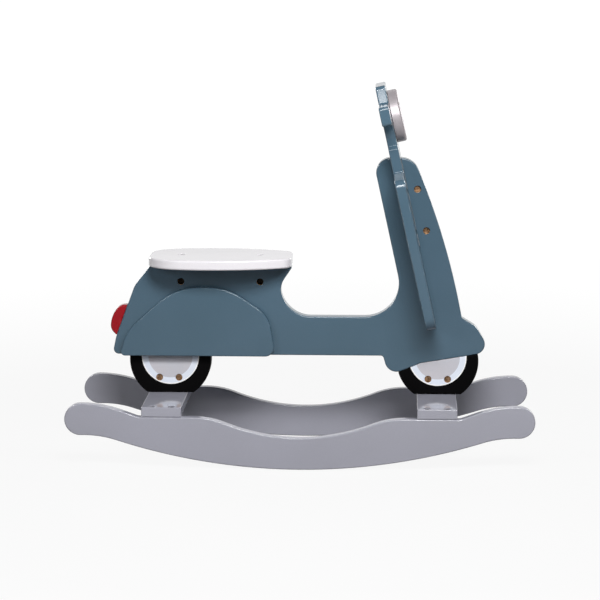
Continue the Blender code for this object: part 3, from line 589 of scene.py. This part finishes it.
def bare_wood(name, light, dark):
    """Unpainted wood."""
    material, tree, shader, place = surface(name, 0.3)
    wood = use_group(tree, BARE_WOOD, place, Light_Colour=tint(*light), Dark_Colour=tint(*dark))
    finish_with(tree, shader, wood, GRAIN_RELIEF)
    return material


# %% Paints, metals and woods of the toy
blue_paint = paint("blue_paint_film", (76, 99, 115), (72, 95, 110), (138, 152, 160), 0.13)
grey_paint = paint("grey_paint_film", (160, 160, 171), (156, 156, 166), (196, 195, 199), 0.1)
white_screen = (228, 225, 229), (224, 221, 225), (240, 236, 230)
white_paint = paint("white_paint_film", *white_screen, 0.13, wear=0.2)
red_paint = paint("red_paint_film", (156, 18, 30), (144, 15, 26), (196, 92, 92), 0.2, 0.35)
brass_metal = metal("brass_barrel", (176, 142, 110), (52, 38, 28), 0.55)
# Painted shade: the seat's nuts sit in deep holes in the seat's shadow, so their brass is painted
# near black.
brass_in_painted_shade = metal("brass_barrel_in_painted_shade", (40, 34, 28), (10, 9, 8), 0.45)
steel_metal = metal("dark_steel", (120, 118, 118), (74, 70, 68), 0.32)
hole_wood = bare_wood("bare_hole_wood", (206, 170, 124), (176, 134, 90))
dowel_wood = bare_wood("dowel_beech", (204, 168, 124), (176, 138, 96))
print("finishes:", [material.name for material in bpy.data.materials])

# %% [markdown]
# ## The rockers
#
# Each rocker is one 15 mm board. Its lower edge is a long arc that the toy rolls on, its
# ends are blunt, and its top swells at each end, drops to a landing for the crossbar and
# dips in the middle. Arcs that share a tangent make such a line without any kink, so the
# outline is a chain of arcs and its mirror image.


# %% Rocker outline and boards
def rocker_arcs():
    """Arcs of the right half, from the middle of the rocking edge up and back along the top."""
    rock, ease, end, hump, hollow, shoulder = 0.9, 0.156, 0.024, 0.186, 0.025, 0.1286
    end_x, ease_x, dip, inner = 0.3285, 0.322, 0.0302, 0.158095
    bottom = rock + ease - np.sqrt((rock + ease) ** 2 - ease_x**2)
    top = bottom + 2 * end
    tilt = np.arcsin(ease_x / (rock + ease))
    slope = np.radians(20)
    dip_turn = 2 * np.arctan(dip / inner)
    dip_radius = inner / np.sin(dip_turn) - shoulder
    up = np.pi / 2
    return np.array([
        (0, rock, rock, -up, tilt - up, 1),
        (ease_x, bottom - ease, ease, up + tilt, up, -1),
        (end_x, bottom + end, end, -up, up, 1),
        (end_x, top - hump, hump, up, up + slope, 1),
        (0.236895, LANDING + hollow, hollow, slope - up, -up, -1),
        (inner, LANDING - shoulder, shoulder, up, up + dip_turn, 1),
        (0, LANDING - dip + dip_radius, dip_radius, dip_turn - up, -up, -1),
    ])


def mirrored_arcs(arcs):
    """The arcs followed by their mirror image, walked the other way."""
    image = arcs[::-1].copy()
    image[:, 0] *= -1
    image[:, 3] = np.pi - arcs[::-1, 4]
    image[:, 4] = np.pi - arcs[::-1, 3]
    return np.vstack([arcs, image])


rocker_line = arc_outline(mirrored_arcs(rocker_arcs()), ROUNDING)
PAIR = np.array([-0.015, 0.015])
NUT_LEVEL = LANDING - 0.022
nut_places = np.concatenate([PAIR - CROSSBAR_X, PAIR + CROSSBAR_X])
for label, y, inner_side in (("right", -ROCKER_Y, -1), ("left", ROCKER_Y, 1)):
    holes = [(x, NUT_LEVEL, inner_side, HOLE_DEPTH, 1) for x in nut_places]
    place = side_view(y, np.zeros(3))
    paints = [grey_paint, hole_wood]
    rocker = board("painted_rocker_" + label, rocker_line, BOARD, place, paints, holes)
    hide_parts("rocker_" + label)

# %% [markdown]
# ## The crossbars
#
# A crossbar is a plain block with its edges eased. It lies across the two rockers. Two
# bolts go down at each end, and two come up from below into the wheel board, each with its
# head sunk just under the surface.

# %% Crossbars
bar_line = rounded_outline([
    (0.03, -0.1275, 0.002),
    (0.03, 0.1275, 0.002),
    (-0.03, 0.1275, 0.002),
    (-0.03, -0.1275, 0.002),
], 0.0015)
for label, bar_x in CROSSBARS:
    holes = [(x, y, 1, HOLE_DEPTH, 0) for x in PAIR for y in (-ROCKER_Y, ROCKER_Y)]
    holes += [(x + AHEAD_OF_BARS, 0.0, -1, HOLE_DEPTH, 0) for x in PAIR]
    place = axes([bar_x, 0, CROSSBAR_TOP - BOARD / 2], AHEAD, LEFT)
    bar = board("painted_crossbar_" + label, bar_line, BOARD, place, [grey_paint], holes)
    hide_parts("crossbar_" + label)

# %% [markdown]
# ## The body board
#
# Tail, foot board, steering column and front fender are one 22 mm board. The column is
# slotted from the top for the handlebar board. Barrel nuts sit in blind holes on the right,
# and two bolts enter through the column's rear edge.


# %% Body board
def on_steering(ahead, up):
    """Point of the scooter's side view, from its place in the steering frame."""
    offset = ahead * STEERING_AHEAD + up * STEERING_UP
    return FOOT[0] + offset[0], FOOT[2] + offset[2]


def slot_mouth(ahead, height):
    """Where a wall of the column's slot meets a level line at that height."""
    up = (height - FOOT[2] - ahead * np.sin(LEAN)) / np.cos(LEAN)
    return on_steering(ahead, up)


SLOT_FLOOR = 0.11695
STEERING_BOLTS = (0.1407, 0.2056)
STEERING_NUT = 0.0224
COLUMN_BACK = -0.0343
NUT_PIT = 0.009
slot_half = BOARD / 2 + GAP
body_line = rounded_outline([
    (-0.29399, BELLY, 0.008),
    (-0.28849, 0.0862, 0.05),
    (-0.25899, 0.1662, 0.04),
    (-0.23349, SEAT_UNDERSIDE, 0.004),
    (-0.01509, SEAT_UNDERSIDE, 0.003),
    (-0.03829, 0.1641, 0.03),
    (-0.01849, 0.1197, 0.047),
    (0.15871, 0.1197, 0.052),
    (0.10551, 0.36169, 0.0225),
    (*slot_mouth(-slot_half, 0.3642), 0.0008, 0.0006),
    (*on_steering(-slot_half, SLOT_FLOOR), 0.0006, 0.0006),
    (*on_steering(slot_half, SLOT_FLOOR), 0.0006, 0.0006),
    (*slot_mouth(slot_half, 0.3642), 0.0008, 0.0006),
    (0.16854, 0.36241, 0.0287),
    (0.22149, 0.23001, 1.118),
    (0.24247, 0.11923, 0.004),
    (0.26409, 0.1057, 0.025),
    (0.28798, 0.06672, 0.0157),
    (0.18009, 0.04867, 0.008),
    (0.13109, 0.0281, 0.018),
    (0.12242, BELLY, 0.005),
])
seat_nuts = [(-0.1875, 0.1732), (-0.0663, 0.1732)]
steering_nuts = [on_steering(STEERING_NUT, up) for up in STEERING_BOLTS]
body_holes = [(*spot, 1, NUT_PIT, 1) for spot in seat_nuts + steering_nuts]
bolt_mouths = [(*on_steering(COLUMN_BACK, up), HOLE_DEPTH) for up in STEERING_BOLTS]
body_paints = [blue_paint, hole_wood]
body = board("painted_body", body_line, BODY, side_view(0.0), body_paints, body_holes, bolt_mouths)
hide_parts("body_board")

# %% [markdown]
# ## The side cowls
#
# A second board on each side thickens the tail into the rear bulge of a scooter. Its long
# back rises slowly and its front falls steeply.

# %% Cowls
cowl_line = rounded_outline([
    (-0.2815, BELLY, 0.006),
    (-0.2709, 0.0972, 0.07),
    (-0.1964, 0.1657, 0.1),
    (-0.1165, 0.1657, 0.09),
    (-0.0531, 0.1234, 0.05),
    (-0.0415, BELLY, 0.014),
])
cowl_y = (BODY + BOARD) / 2 + GAP
for label, y in (("right", -cowl_y), ("left", cowl_y)):
    cowl = board("painted_cowl_" + label, cowl_line, BOARD, side_view(y), [blue_paint])
    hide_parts("cowl_" + label)

# %% [markdown]
# ## The handlebar board
#
# One board leans back through the column. From the top it has the head that carries the
# lamp, two grips with room for fingers below them, a narrow neck, and the broad leg shield
# with round shoulders. Its slot comes from below and meets the column's slot halfway.

# %% Handlebar board
shield_half = BODY / 2 + GAP
right_half = [
    (0.043, 0.3724, 0.008),
    (0.05, 0.3461, 0.003),
    (0.115, 0.3461, 0.005),
    (0.115, 0.3174, 0.005),
    (0.047, 0.3174, 0.028),
    (0.047, 0.281, 0.003),
    (0.0515, 0.276, 0.003),
    (0.0515, 0.2406, 0.0015),
    (0.0985, 0.232, 0.013),
    (0.1005, 0.138, 0.5),
    (0.0905, 0.0, 0.022),
    (shield_half, 0.0, 0.0008, 0.0006),
    (shield_half, SLOT_FLOOR + GAP, 0.0006, 0.0006),
]
left_half = [(-u, *rest) for u, *rest in right_half[::-1]]
handlebar_line = rounded_outline(right_half + left_half)
handlebar_place = axes(STEERING, LEFT, STEERING_UP)
handlebar = board("painted_handlebar", handlebar_line, BOARD, handlebar_place, [blue_paint])
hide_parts("handlebar_board")

# %% [markdown]
# ## The seat
#
# The seat is a 15 mm board with softly rounded edges, painted white. Two bolts hold it
# down, their heads sunk a millimetre below the surface.

# %% Seat board
seat_half = [
    (-0.23519, 0.038, 0.04),
    (-0.20769, 0.066, 0.07),
    (-0.14069, 0.075, 0.3),
    (-0.07249, 0.066, 0.25),
    (-0.01749, 0.042, 0.022),
]
seat_corners = [(-0.23569, 0.0, 0.2)] + seat_half + [(-0.01699, 0.0, 0.2)]
seat_corners += [(u, -v, radius) for u, v, radius in seat_half[::-1]]
seat_line = rounded_outline(seat_corners, 0.003)
seat_place = axes(SCOOTER + [0, 0, SEAT_UNDERSIDE + GAP + BOARD / 2], AHEAD, LEFT)
seat_holes = [(x, 0.0, 1, HOLE_DEPTH, 0) for x, _ in seat_nuts]
seat = board("painted_seat", seat_line, BOARD, seat_place, [white_paint], seat_holes)
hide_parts("seat_board")

# %% [markdown]
# ## The wheels
#
# A wheel of this toy doesn't turn. It is the lower part of a disc, cut straight below to
# stand on its crossbar and cut above along the body's edge. Only paint makes it a wheel: a
# black tyre, a white rim and a grey hub, sprayed through masks. The material measures how
# far each point is from the hub, which the piece stores as an attribute.


# %% Wheel paint
def wheel_paint():
    """Black tyre, pale rim with a bright edge, and grey hub, by distance from the hub."""
    material, tree, shader, place = surface("wheel_paint_film", 0.04)
    uneven = remap(tree, noise(tree, place, 700.0, 2.0), 0.3, 0.7, -0.00012, 0.00012)
    away = sums(tree, "ADD", span_of(tree, attribute(tree, "from_hub").outputs["Vector"]), uneven)
    film = film_on(tree, place, (10, 9, 10), (7, 7, 8), (70, 68, 66), 0.42, 0.4)
    pigment = remap(tree, noise(tree, place, 1200.0, 1.0), 0.3, 0.7, 0.97, 1.03)
    drift = remap(tree, noise(tree, place, 30.0, 2.0), 0.35, 0.65, 0, 1)
    hub = blend(tree, drift, tint(188, 188, 195), tint(193, 190, 195))
    hub = blend(tree, 1.0, hub, pigment, "MULTIPLY")
    rim = blend(tree, 1.0, tint(219, 225, 236), pigment, "MULTIPLY")
    colour = blend(tree, remap(tree, away, 0.0339, 0.0343, 0, 1), hub, rim)
    colour = blend(tree, remap(tree, away, 0.0425, 0.0430, 0, 1), colour, tint(246, 245, 244))
    colour = blend(tree, remap(tree, away, 0.0440, 0.0444, 0, 1), colour, film.outputs["Colour"])
    finish_with(tree, shader, film, 0.00003, colour)
    return material


tyre_and_hub = wheel_paint()


# %% Wheel boards
WHEEL_RADIUS = 0.0626
WHEEL_HEIGHT = 0.0518
HUB_HEIGHT = 0.0576
EASE = 0.0012


def line_through(first, second):
    """Normal and offset of a line, with the wheel below it; moved down by half the glue gap."""
    run = np.subtract(second, first)
    normal = np.array([-run[1], run[0]]) / np.linalg.norm(run)
    return normal, normal @ first - GAP * normal[1]


def trimmed_disc(middle, lines):
    """Disc cut by a level line below and by one or two lines above, as eased arcs.

    The arc that eases a corner between line and disc has its centre EASE inside both, so it
    is EASE under the line and the wheel's radius less EASE from the disc's centre.
    """
    hub = np.array([middle, WHEEL_HEIGHT])
    small = WHEEL_RADIUS - EASE

    def corner(normal, offset, side):
        under = offset - EASE - normal @ hub
        sideways = np.array([-normal[1], normal[0]]) * side * np.sqrt(small**2 - under**2)
        centre = hub + normal * under + sideways
        from_hub = centre - hub
        return centre, np.arctan2(normal[1], normal[0]), np.arctan2(from_hub[1], from_hub[0])

    below = [corner(np.array([0.0, -1.0]), -GAP, side) for side in (1, -1)]
    right = corner(*lines[0], -1)
    left = corner(*lines[-1], 1)
    arcs = [(*below[0][0], EASE, below[0][1], below[0][2], 1)]
    arcs.append((*hub, WHEEL_RADIUS, below[0][2], right[2], 1))
    arcs.append((*right[0], EASE, right[2], right[1], 1))
    if len(lines) > 1:
        normals = np.array([line[0] for line in lines])
        centre = np.linalg.solve(normals, np.array([line[1] for line in lines]) - EASE)
        arcs.append((*centre, EASE, right[1], left[1], 1))
    arcs.append((*left[0], EASE, left[1], left[2] % (2 * np.pi), 1))
    arcs.append((*hub, WHEEL_RADIUS, left[2] % (2 * np.pi), below[1][2] % (2 * np.pi), 1))
    arcs.append((*below[1][0], EASE, below[1][2] % (2 * np.pi), 1.5 * np.pi, 1))
    return arc_outline(arcs, 0.001)


rear_line = [(np.array([0.0, 1.0]), 0.0593)]
nose, bend, hump = (0.08139, 0.06672), (-0.0265, 0.04867), (-0.0755, 0.0281)
front_lines = [line_through(bend, nose), line_through(hump, bend)]
WHEEL_NUT = 0.0237
for (label, x), middle, lines in zip(CROSSBARS, (0.002, -0.0006), (rear_line, front_lines)):
    place = side_view(0.0, SCOOTER + [x, 0, 0])
    holes = [(spread, WHEEL_NUT, 1, HOLE_DEPTH, 1) for spread in PAIR]
    line = trimmed_disc(middle, lines)
    wheel = board("painted_wheel_" + label, line, BODY, place, [tyre_and_hub, hole_wood], holes)
    spots = np.array([point.co for point in wheel.data.vertices])
    from_hub = (spots - (place[0] + [middle, 0, HUB_HEIGHT])) * [1, 0, 1]
    stored = wheel.data.attributes.new("from_hub", "FLOAT_VECTOR", "POINT")
    stored.data.foreach_set("vector", from_hub.astype(np.float32).ravel())
    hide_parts("wheel_" + label)

# %% [markdown]
# ## The headlight and the tail light
#
# The headlight is a turned disc with a rounded front, sprayed with silver paint, so it is a
# profile carried round a circle. The tail light is a small bulging block on the tail's
# edge, and is made as the boards are.


# %% Silver paint
def silver_paint():
    """Silver spray: fine flakes under a clear film, greyer where the film is thick."""
    material, tree, shader, place = surface("silver_paint_film", 0.5, 0.35, 0.1, 0.25)
    sprayed = (182, 175, 178), (170, 163, 167), (150, 132, 122)
    film = film_on(tree, place, *sprayed, 0.42, 0.35)
    flakes = remap(tree, noise(tree, place, 2400.0, 2.0), 0.35, 0.65, 0.9, 1.06)
    colour = blend(tree, 1.0, film.outputs["Colour"], flakes, "MULTIPLY")
    finish_with(tree, shader, film, 0.00002, colour)
    return material


silver = silver_paint()


# %% Headlight and tail light
def turned_piece(name, profile, origin, axis, materials):
    """Profile of (radius, height, facing out, facing up) carried round an axis, closed by discs.

    A point is the origin plus height along the axis plus radius along a ray that turns
    clockwise about the axis, so the profile is listed from the top down.
    """
    ray = rays_round(axis, 2 * np.pi * np.arange(RIM_POINTS) / RIM_POINTS)
    radius, height, out, up = profile.T
    skin = Skin()
    points = origin + radius[:, None] * ray[:, None] + height[:, None] * axis
    index = skin.add(points, np.abs(2 * out * up))
    skin.strip(index, out[:, None] * ray[:, None] + up[:, None] * axis)
    skin.face(index[:, 0], axis)
    skin.face(index[::-1, -1], -axis)
    return skin.piece(name, materials)


def rolled(radius, height, rounding, first, last, steps):
    """Rounded rim as profile rows: a circle's (cos, sin) about (radius, height)."""
    roll = np.radians(np.linspace(first, last, steps))
    ray = np.stack([np.cos(roll), np.sin(roll)], axis=1)
    return np.hstack([[radius, height] + rounding * ray, ray])


RIM_POINTS = 96
lamp_profile = np.vstack([
    rolled(0.036, 0.0035, 0.004, 90, 0, 9),
    rolled(0.0392, -0.0067, 0.0008, 0, -90, 5),
])
lamp_centre = STEERING + 0.3208 * STEERING_UP + (BOARD + GAP) * STEERING_AHEAD
lamp = turned_piece("headlight_disc", lamp_profile, lamp_centre, STEERING_AHEAD, [silver])
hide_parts("headlight")

tail_run = np.array([0.0295, 0.0, 0.08])
tail_run /= np.linalg.norm(tail_run)
tail_out = np.array([-tail_run[2], 0.0, tail_run[0]])
tail_line = rounded_outline([
    (0.0, 0.0003, 0.001, 0.0008),
    (0.0051, 0.0122, 0.016),
    (0.0252, 0.0178, 0.045),
    (0.0459, 0.0116, 0.016),
    (0.0504, 0.0003, 0.001, 0.0008),
])
tail_place = axes([-0.28563, 0.0, 0.182336], tail_run, tail_out)
tail_lamp = board("tail_light_block", tail_line, 0.016, tail_place, [red_paint])
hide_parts("tail_light")

# %% [markdown]
# ## Bolts, barrel nuts and dowels
#
# Every joint that comes apart has an M6 socket bolt and a brass barrel nut. The bolt is a
# turned profile whose inner rings follow a hexagon. The nut is a short rod with a slot
# across the end that shows, for turning its thread to the bolt.


# %% Socket bolt
BOLT_POINTS = 48
SHARP_FROM = 35


def hexagon(half_width, angle):
    """Radius of a hexagon at an angle: half its width over the cosine of the nearest turn."""
    near = (angle + np.pi / 6) % (np.pi / 3) - np.pi / 6
    return half_width / np.cos(near)


def socket_bolt(name, underside, along, length):
    """Bolt from its socket's floor, over the head and down the shank, as rings about its axis."""
    axis = -along
    angle = 2 * np.pi * np.arange(BOLT_POINTS) / BOLT_POINTS
    ray = rays_round(axis, angle)
    plain = np.ones(BOLT_POINTS)
    six = hexagon(1.0, angle)
    rings = [
        (0.00245 * six, 0.0022),
        (0.00250 * six, 0.0047),
        (0.00275 * six, 0.0050),
        (0.0045 * plain, 0.0050),
        (0.0049 * plain, 0.0047),
        (0.0050 * plain, 0.0042),
        (0.0050 * plain, 0.0002),
        (0.0048 * plain, 0.0),
        (0.0030 * plain, 0.0),
        (0.0030 * plain, 0.0007 - length),
        (0.0024 * plain, -length),
    ]
    radius = np.stack([ring[0] for ring in rings], axis=1)
    height = np.array([ring[1] for ring in rings])
    skin = Skin()
    index = skin.add(underside + radius[..., None] * ray[:, None] + height[:, None] * axis)
    skin.strip(index, np.zeros((*index.shape, 3)))
    skin.face(index[:, 0], axis)
    skin.face(index[::-1, -1], -axis)
    return skin.piece(name, [steel_metal], SHARP_FROM)


# %% Barrel nut
def barrel_nut(name, centre, look, slot_run, length, material):
    """Rod along look, with a slot across its outer end.

    Rings of points run round the rod at the end plane, at the slot's floor and at the far
    end. Between the first two, the wall is left out where the slot leaves the rod.
    """
    across = np.cross(look, slot_run)
    radius, half_slot, depth = 0.005, 0.0009, 0.0018
    first = np.arcsin(half_slot / radius)
    arc = np.linspace(first, np.pi - first, 25)
    angle = np.concatenate([arc, arc + np.pi])
    ray = np.cos(angle)[:, None] * slot_run + np.sin(angle)[:, None] * across
    height = np.array([length / 2, length / 2 - depth, -length / 2])
    skin = Skin()
    index = skin.add(centre + radius * ray[:, None] + height[:, None] * look)
    upper = np.ones(50, bool)
    upper[[24, 49]] = False
    quads = ring_quads(index)
    walls = np.concatenate([quads[upper, 0], quads[:, 1]])
    skin.keep(walls, np.zeros((*walls.shape, 3)))
    skin.face(index[:25, 0], look)
    skin.face(index[25:, 0], look)
    skin.face(index[[0, 24, 24, 0], [0, 0, 1, 1]], -across)
    skin.face(index[[25, 49, 49, 25], [0, 0, 1, 1]], across)
    skin.face(index[[24, 25, 49, 0], 1], look)
    skin.face(index[::-1, 2], -look)
    return skin.piece(name, [material], SHARP_FROM)


# %% Place every fastener
def fasten(label, underside, along, length, nut, look, slot_run, nut_length, brass=brass_metal):
    """One bolt and its nut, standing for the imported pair."""
    bolt = socket_bolt("socket_bolt_" + label, underside, along, length)
    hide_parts("bolt_" + label)
    barrel = barrel_nut("barrel_nut_" + label, nut, look, slot_run, nut_length, brass)
    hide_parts("nut_" + label)


HEAD_SUNK = 0.006
REACH = 0.007
SHORT_NUT, WHEEL_NUT_LENGTH, BODY_NUT = BOARD - 0.004, BODY - 0.004, BODY - 0.010
BOLT_TO_NUT = 0.0507
for end, bar_x in CROSSBARS:
    places = list(enumerate(bar_x + PAIR, 1))
    for side, y, inward in (("right", -ROCKER_Y, LEFT), ("left", ROCKER_Y, RIGHT)):
        for number, x in places:
            top = np.array([x, y, CROSSBAR_TOP - HEAD_SUNK])
            nut = np.array([x, y, NUT_LEVEL])
            reach = top[2] - nut[2] + REACH
            fasten(f"rocker_{end}_{side}_{number}", top, -UP, reach, nut, inward, UP, SHORT_NUT)
    for number, x in places:
        foot = np.array([x + AHEAD_OF_BARS, 0, CROSSBAR_TOP - BOARD + HEAD_SUNK])
        nut = np.array([foot[0], 0, CROSSBAR_TOP + WHEEL_NUT])
        reach = nut[2] - foot[2] + REACH
        fasten(f"wheel_{end}_{number}", foot, UP, reach, nut, RIGHT, UP, WHEEL_NUT_LENGTH)
for label, (x, z) in zip(("rear", "front"), seat_nuts):
    top = SCOOTER + [x, 0, SEAT_UNDERSIDE + GAP + BOARD - HEAD_SUNK]
    nut = SCOOTER + [x, 0, z]
    reach = top[2] - nut[2] + REACH
    # The seat's nuts take the near-black brass that paints the seat's shadow into their holes.
    fasten("seat_" + label, top, -UP, reach, nut, RIGHT, UP, BODY_NUT, brass_in_painted_shade)
for label, up in zip(("low", "high"), STEERING_BOLTS):
    mouth = STEERING + up * STEERING_UP + (COLUMN_BACK + HEAD_SUNK) * STEERING_AHEAD
    nut = STEERING + up * STEERING_UP + STEERING_NUT * STEERING_AHEAD
    reach = BOLT_TO_NUT + REACH
    fasten("steering_" + label, mouth, STEERING_AHEAD, reach, nut, RIGHT, STEERING_AHEAD, BODY_NUT)

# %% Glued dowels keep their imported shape
dowels = [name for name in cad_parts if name.startswith("dowel_")]
for name in dowels:
    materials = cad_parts[name].data.materials
    materials.clear()
    materials.append(dowel_wood)
print("dowels:", len(dowels))

# %% [markdown]
# ## A plain studio
#
# The floor is a pale sheet. The camera sees it nearly white by itself, and a small share of
# it is plain matt white that takes the toy's shadow. Mirror-like surfaces see the white
# behind the toy and a dim studio in front of it. Two wide soft boxes, one high and one low,
# stand in front, a weak one fills from the left, and two light the back.


# %% Floor and world
FRONT_SHARE = 0.07


def sees_white(tree, place, near, far):
    """1 for camera and glass; gloss sees white only behind the toy, rising from Y near to Y far."""
    apart = node(tree, "SeparateXYZ", Vector=place)
    behind = remap(tree, apart.outputs["Y"], near, far, FRONT_SHARE, 1.0)
    path = node(tree, "LightPath").outputs
    seen = sums(tree, "MULTIPLY", path["Is Glossy Ray"], behind)
    for ray in ("Is Camera Ray", "Is Transmission Ray"):
        seen = sums(tree, "MAXIMUM", seen, path[ray])
    return seen


def mix_into(tree, share, first, second, out):
    """Mix two shaders by a share, into the output's Surface."""
    mix = node(tree, "MixShader")
    for socket, value in zip(mix.inputs, (share, first.outputs[0], second.outputs[0])):
        plug(tree, value, socket)
    feed(tree, out, Surface=mix.outputs["Shader"])


def pale_floor():
    """Matt white that keeps shadows, mixed with even white where camera or gloss looks."""
    material = bpy.data.materials.new("studio_floor")
    material.use_nodes = True
    tree = material.node_tree
    tree.nodes.clear()
    matt = node(tree, "BsdfDiffuse", Color=(0.3, 0.3, 0.3, 1.0))
    even = node(tree, "Emission", Strength=1.04)
    place = node(tree, "TexCoord").outputs["Object"]
    even_share = remap(tree, span_of(tree, place), 0.8, 2.4, 0.88, 1.0)
    share = sums(tree, "MULTIPLY", sees_white(tree, place, 0.1, 0.6), even_share)
    mix_into(tree, share, matt, even, node(tree, "OutputMaterial"))
    return material


def floor_sheet(half, steps=40):
    """Level grid just under the rockers: a point is (u, v, 0) over the sheet."""
    share = np.linspace(-half, half, steps)
    x, y = np.meshgrid(share, share, indexing="ij")
    points = np.stack([x, y, np.full_like(x, -0.0004)], axis=-1).reshape(-1, 3)
    number = np.arange(steps * steps).reshape(steps, steps)
    quads = [number[:-1, :-1], number[1:, :-1], number[1:, 1:], number[:-1, 1:]]
    mesh = bpy.data.meshes.new("studio_floor")
    mesh.from_pydata(points.tolist(), [], np.stack(quads, axis=-1).reshape(-1, 4).tolist())
    mesh.materials.append(pale_floor())
    return placed("studio_floor", mesh)


floor = floor_sheet(30.0)

world = bpy.data.worlds.new("studio_world")
bpy.context.scene.world = world
world.use_nodes = True
tree = world.node_tree
lit = tree.nodes["Background"]
white = node(tree, "Background")
for shader, strength in ((lit, 0.02), (white, 1.0)):
    feed(tree, shader, Color=(1.0, 1.0, 1.0, 1.0), Strength=strength)
place = node(tree, "TexCoord").outputs["Generated"]
mix_into(tree, sees_white(tree, place, 0.4, 0.8), lit, white, tree.nodes["World Output"])


# %% Lamps and camera
def soft_box(name, place, aim, width, height, power):
    """Wide area lamp at a place, looking at an aim point."""
    lamp_data = bpy.data.lights.new(name, "AREA")
    lamp_data.shape = "RECTANGLE"
    lamp_data.size = width
    lamp_data.size_y = height
    lamp_data.energy = power
    made = placed(name, lamp_data)
    made.location = place
    made.rotation_euler = (Vector(aim) - Vector(place)).to_track_quat("-Z", "Y").to_euler()


MIDDLE = (0, 0, 0.25)
soft_box("box_high", (0.2, -1.7, 1.75), MIDDLE, 0.9, 0.4, 31)
soft_box("box_near", (0.32, -0.95, 0.9), MIDDLE, 0.8, 0.25, 8)
soft_box("box_left", (-0.8, -1.3, 0.75), (-0.2, 0, 0.15), 0.5, 0.3, 4.5)
for side, x in (("left", -1.3), ("right", 1.3)):
    soft_box("box_back_" + side, (x, 1.7, 0.8), MIDDLE, 0.6, 0.5, 14)

camera_data = bpy.data.cameras.new("photo_camera")
camera_data.lens = 147.5
camera_data.sensor_width = 36
camera = placed("photo_camera", camera_data)
camera.location = (0.148, -3.7225, 0.835)
camera.rotation_euler = np.radians([80.89, 0, 2.33])
bpy.context.scene.camera = camera
bpy.context.scene.view_settings.view_transform = "Standard"
